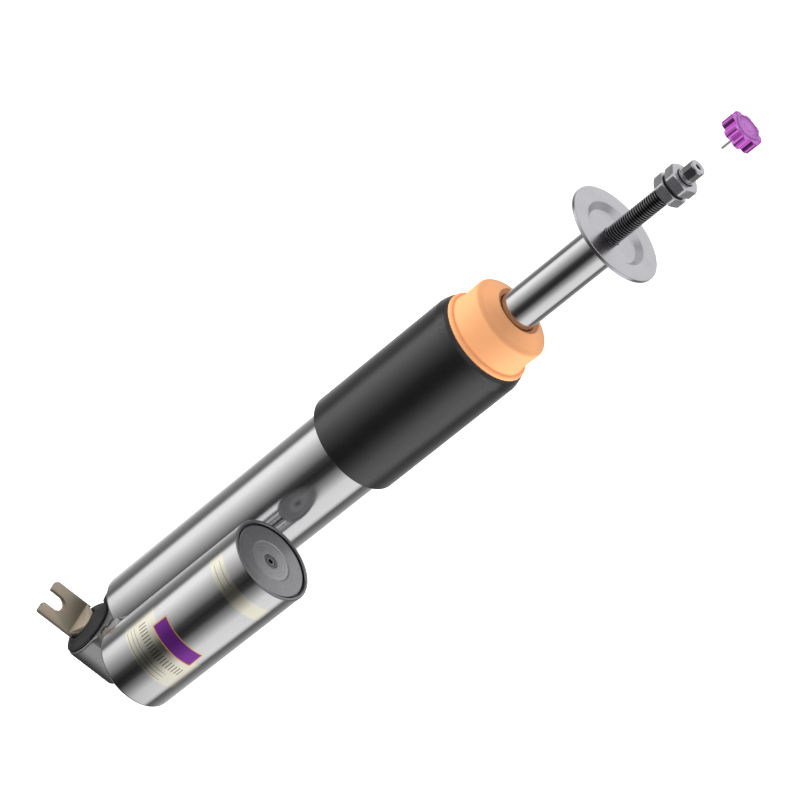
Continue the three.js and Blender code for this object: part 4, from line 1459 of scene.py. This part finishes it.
def aim_camera(studio):
    """Puts the camera on its line to the target and rolls it."""
    side, up = studio.azimuth, studio.elevation
    back = Vector((math.sin(side) * math.cos(up), -math.cos(side) * math.cos(up), math.sin(up)))
    level = Vector((math.cos(side), math.sin(side), 0))
    rise = level.cross(-back)
    right = level * math.cos(studio.roll) + rise * math.sin(studio.roll)
    top = rise * math.cos(studio.roll) - level * math.sin(studio.roll)
    lens = bpy.data.cameras.new("camera")
    lens.lens = studio.lens
    lens.sensor_width = 36
    lens.clip_end = 50
    camera = bpy.data.objects.new("camera", lens)
    bpy.context.scene.collection.objects.link(camera)
    turn = Matrix((right, top, back)).transposed().to_4x4()
    place = Vector(studio.target) + back * studio.distance
    camera.matrix_world = Matrix.Translation(place) @ turn
    bpy.context.scene.camera = camera


def side_light(name, azimuth, elevation, power, size):
    """A soft box that points at the middle of the damper and isn't mirrored in the steel."""
    lamp = bpy.data.lights.new(name, "AREA")
    lamp.energy = power
    lamp.size = size
    heading = Vector(
        (
            math.cos(azimuth) * math.cos(elevation),
            math.sin(azimuth) * math.cos(elevation),
            math.sin(elevation),
        )
    )
    light = bpy.data.objects.new(name, lamp)
    bpy.context.scene.collection.objects.link(light)
    middle = (CAD_BOX[0] + CAD_BOX[1]) / 2
    light.matrix_world = Matrix.Translation(middle + heading * 1.4) @ (
        heading.to_track_quat("Z", "Y").to_matrix().to_4x4()
    )
    light.visible_glossy = False


FLOOR_SPAN = 30.0


def backdrop(level, name, up):
    """A plain pale sheet that only the camera sees: the floor, or the wall round it."""
    bm = bmesh.new()
    if up:
        bmesh.ops.create_uvsphere(bm, u_segments=48, v_segments=24, radius=FLOOR_SPAN / 2)
    else:
        bmesh.ops.create_grid(bm, x_segments=1, y_segments=1, size=FLOOR_SPAN / 2)
    bmesh.ops.translate(bm, verts=bm.verts, vec=(0, 0, level))
    sheet = new_object(name, bm)
    pale = Finish(name, (0.9, 0.9, 0.9), 0.9)
    pale.paint("Emission Color", (1.0, 1.0, 1.0))
    pale.paint("Emission Strength", 1.0)
    sheet.data.materials.append(pale.material)
    sheet.visible_diffuse = False
    sheet.visible_glossy = False
    sheet.visible_transmission = False
    sheet.visible_shadow = False


# ---- operators ------------------------------------------------------------------------------


class DAMPER_OT_casting(bpy.types.Operator):
    """Build the lower casting and the two adjuster screws in it"""

    bl_idname = "damper.casting"
    bl_label = "Lower Casting"

    def execute(self, context):
        make_casting(context.scene.damper_sizes)
        for node, turn in SCREWS.items():
            make_screw(node, turn)
            make_screw_shade_ring(node)
        return {"FINISHED"}


class DAMPER_OT_lower_eye(bpy.types.Operator):
    """Build the rubber bush and the forked bar pin"""

    bl_idname = "damper.lower_eye"
    bl_label = "Lower Eye"

    def execute(self, context):
        make_bush()
        make_bar_pin(context.scene.damper_sizes)
        return {"FINISHED"}


class DAMPER_OT_tubes(bpy.types.Operator):
    """Build the polished damper tube and the dust tube over it"""

    bl_idname = "damper.tubes"
    bl_label = "Tubes"

    def execute(self, context):
        make_damper_tube(context.scene.damper_sizes)
        make_dust_tube()
        return {"FINISHED"}


class DAMPER_OT_bump_stop(bpy.types.Operator):
    """Build the foam bump stop"""

    bl_idname = "damper.bump_stop"
    bl_label = "Bump Stop"

    def execute(self, context):
        make_bump_stop()
        return {"FINISHED"}


class DAMPER_OT_reservoir(bpy.types.Operator):
    """Build the reservoir tube, its cap, circlip and gas valve"""

    bl_idname = "damper.reservoir"
    bl_label = "Reservoir"

    def execute(self, context):
        make_reservoir_tube(context.scene.damper_sizes)
        make_cap()
        make_circlip()
        make_gas_valve()
        return {"FINISHED"}


class DAMPER_OT_rod(bpy.types.Operator):
    """Build the rod, its threaded stud and its six-sided tip"""

    bl_idname = "damper.rod"
    bl_label = "Rod"

    def execute(self, context):
        make_shaft()
        make_thread(context.scene.damper_sizes)
        make_tip()
        return {"FINISHED"}


class DAMPER_OT_rod_end(bpy.types.Operator):
    """Build the dished washer, the two nuts and the ring between them"""

    bl_idname = "damper.rod_end"
    bl_label = "Washer and Nuts"

    def execute(self, context):
        make_washer()
        make_lock_ring()
        make_nut("lower_nut")
        make_nut("upper_nut")
        return {"FINISHED"}


class DAMPER_OT_knob(bpy.types.Operator):
    """Build the adjuster knob, its face and its key"""

    bl_idname = "damper.knob"
    bl_label = "Adjuster Knob"

    def execute(self, context):
        make_knob(context.scene.damper_sizes)
        make_knob_face(context.scene.damper_sizes)
        make_key()
        return {"FINISHED"}


class DAMPER_OT_hidden_pieces(bpy.types.Operator):
    """Give each CAD piece that stays its finish from the record's material slots"""

    bl_idname = "damper.hidden_pieces"
    bl_label = "Hidden Pieces"

    def execute(self, context):
        slots = {row["node"]: row["material_slot"] for row in frame["record"]["subparts"]}
        for name, node in frame["nodes"].items():
            if not node.hide_render:
                node.data.materials.clear()
                node.data.materials.append(finish(slots[name]))
        return {"FINISHED"}


class DAMPER_OT_stage(bpy.types.Operator):
    """Set up the floor, the light tent, the side lights and the camera"""

    bl_idname = "damper.stage"
    bl_label = "Stage"

    def execute(self, context):
        studio = context.scene.damper_studio
        context.scene.view_settings.view_transform = "Standard"
        light_world()
        backdrop(-studio.floor_drop, "floor", False)
        backdrop(0.0, "backdrop", True)
        side_light("left_box", math.radians(-95), 0.0, studio.side_light, 0.7)
        side_light("right_box", math.radians(50), 0.0, studio.side_light, 0.7)
        aim_camera(studio)
        return {"FINISHED"}


class DAMPER_PT_panel(bpy.types.Panel):
    """The damper's sizes, colours and build steps"""

    bl_idname = "DAMPER_PT_panel"
    bl_label = "Damper"
    bl_space_type = "VIEW_3D"
    bl_region_type = "UI"
    bl_category = "Damper"

    def draw(self, context):
        for operator in OPERATORS:
            self.layout.operator(operator.bl_idname)
        for group in ("damper_sizes", "damper_colours", "damper_studio"):
            settings = getattr(context.scene, group)
            box = self.layout.box()
            for name in settings.__annotations__:
                box.prop(settings, name)


OPERATORS = (
    DAMPER_OT_casting,
    DAMPER_OT_lower_eye,
    DAMPER_OT_tubes,
    DAMPER_OT_bump_stop,
    DAMPER_OT_reservoir,
    DAMPER_OT_rod,
    DAMPER_OT_rod_end,
    DAMPER_OT_knob,
    DAMPER_OT_hidden_pieces,
    DAMPER_OT_stage,
)
GROUPS = (DamperSizes, DamperColours, StudioSettings)
CLASSES = (*GROUPS, *OPERATORS, DAMPER_PT_panel)


def register():
    """Registers the classes and hangs the settings on the scene."""
    for made in CLASSES:
        bpy.utils.register_class(made)
    bpy.types.Scene.damper_sizes = PointerProperty(type=DamperSizes)
    bpy.types.Scene.damper_colours = PointerProperty(type=DamperColours)
    bpy.types.Scene.damper_studio = PointerProperty(type=StudioSettings)


def unregister():
    """Takes away what register() added."""
    del bpy.types.Scene.damper_sizes
    del bpy.types.Scene.damper_colours
    del bpy.types.Scene.damper_studio
    for made in reversed(CLASSES):
        bpy.utils.unregister_class(made)


def main():
    """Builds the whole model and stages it."""
    register()
    bpy.ops.damper.casting()
    bpy.ops.damper.lower_eye()
    bpy.ops.damper.tubes()
    bpy.ops.damper.bump_stop()
    bpy.ops.damper.reservoir()
    bpy.ops.damper.rod()
    bpy.ops.damper.rod_end()
    bpy.ops.damper.knob()
    bpy.ops.damper.hidden_pieces()
    bpy.ops.damper.stage()


if __name__ == "__main__":
    main()
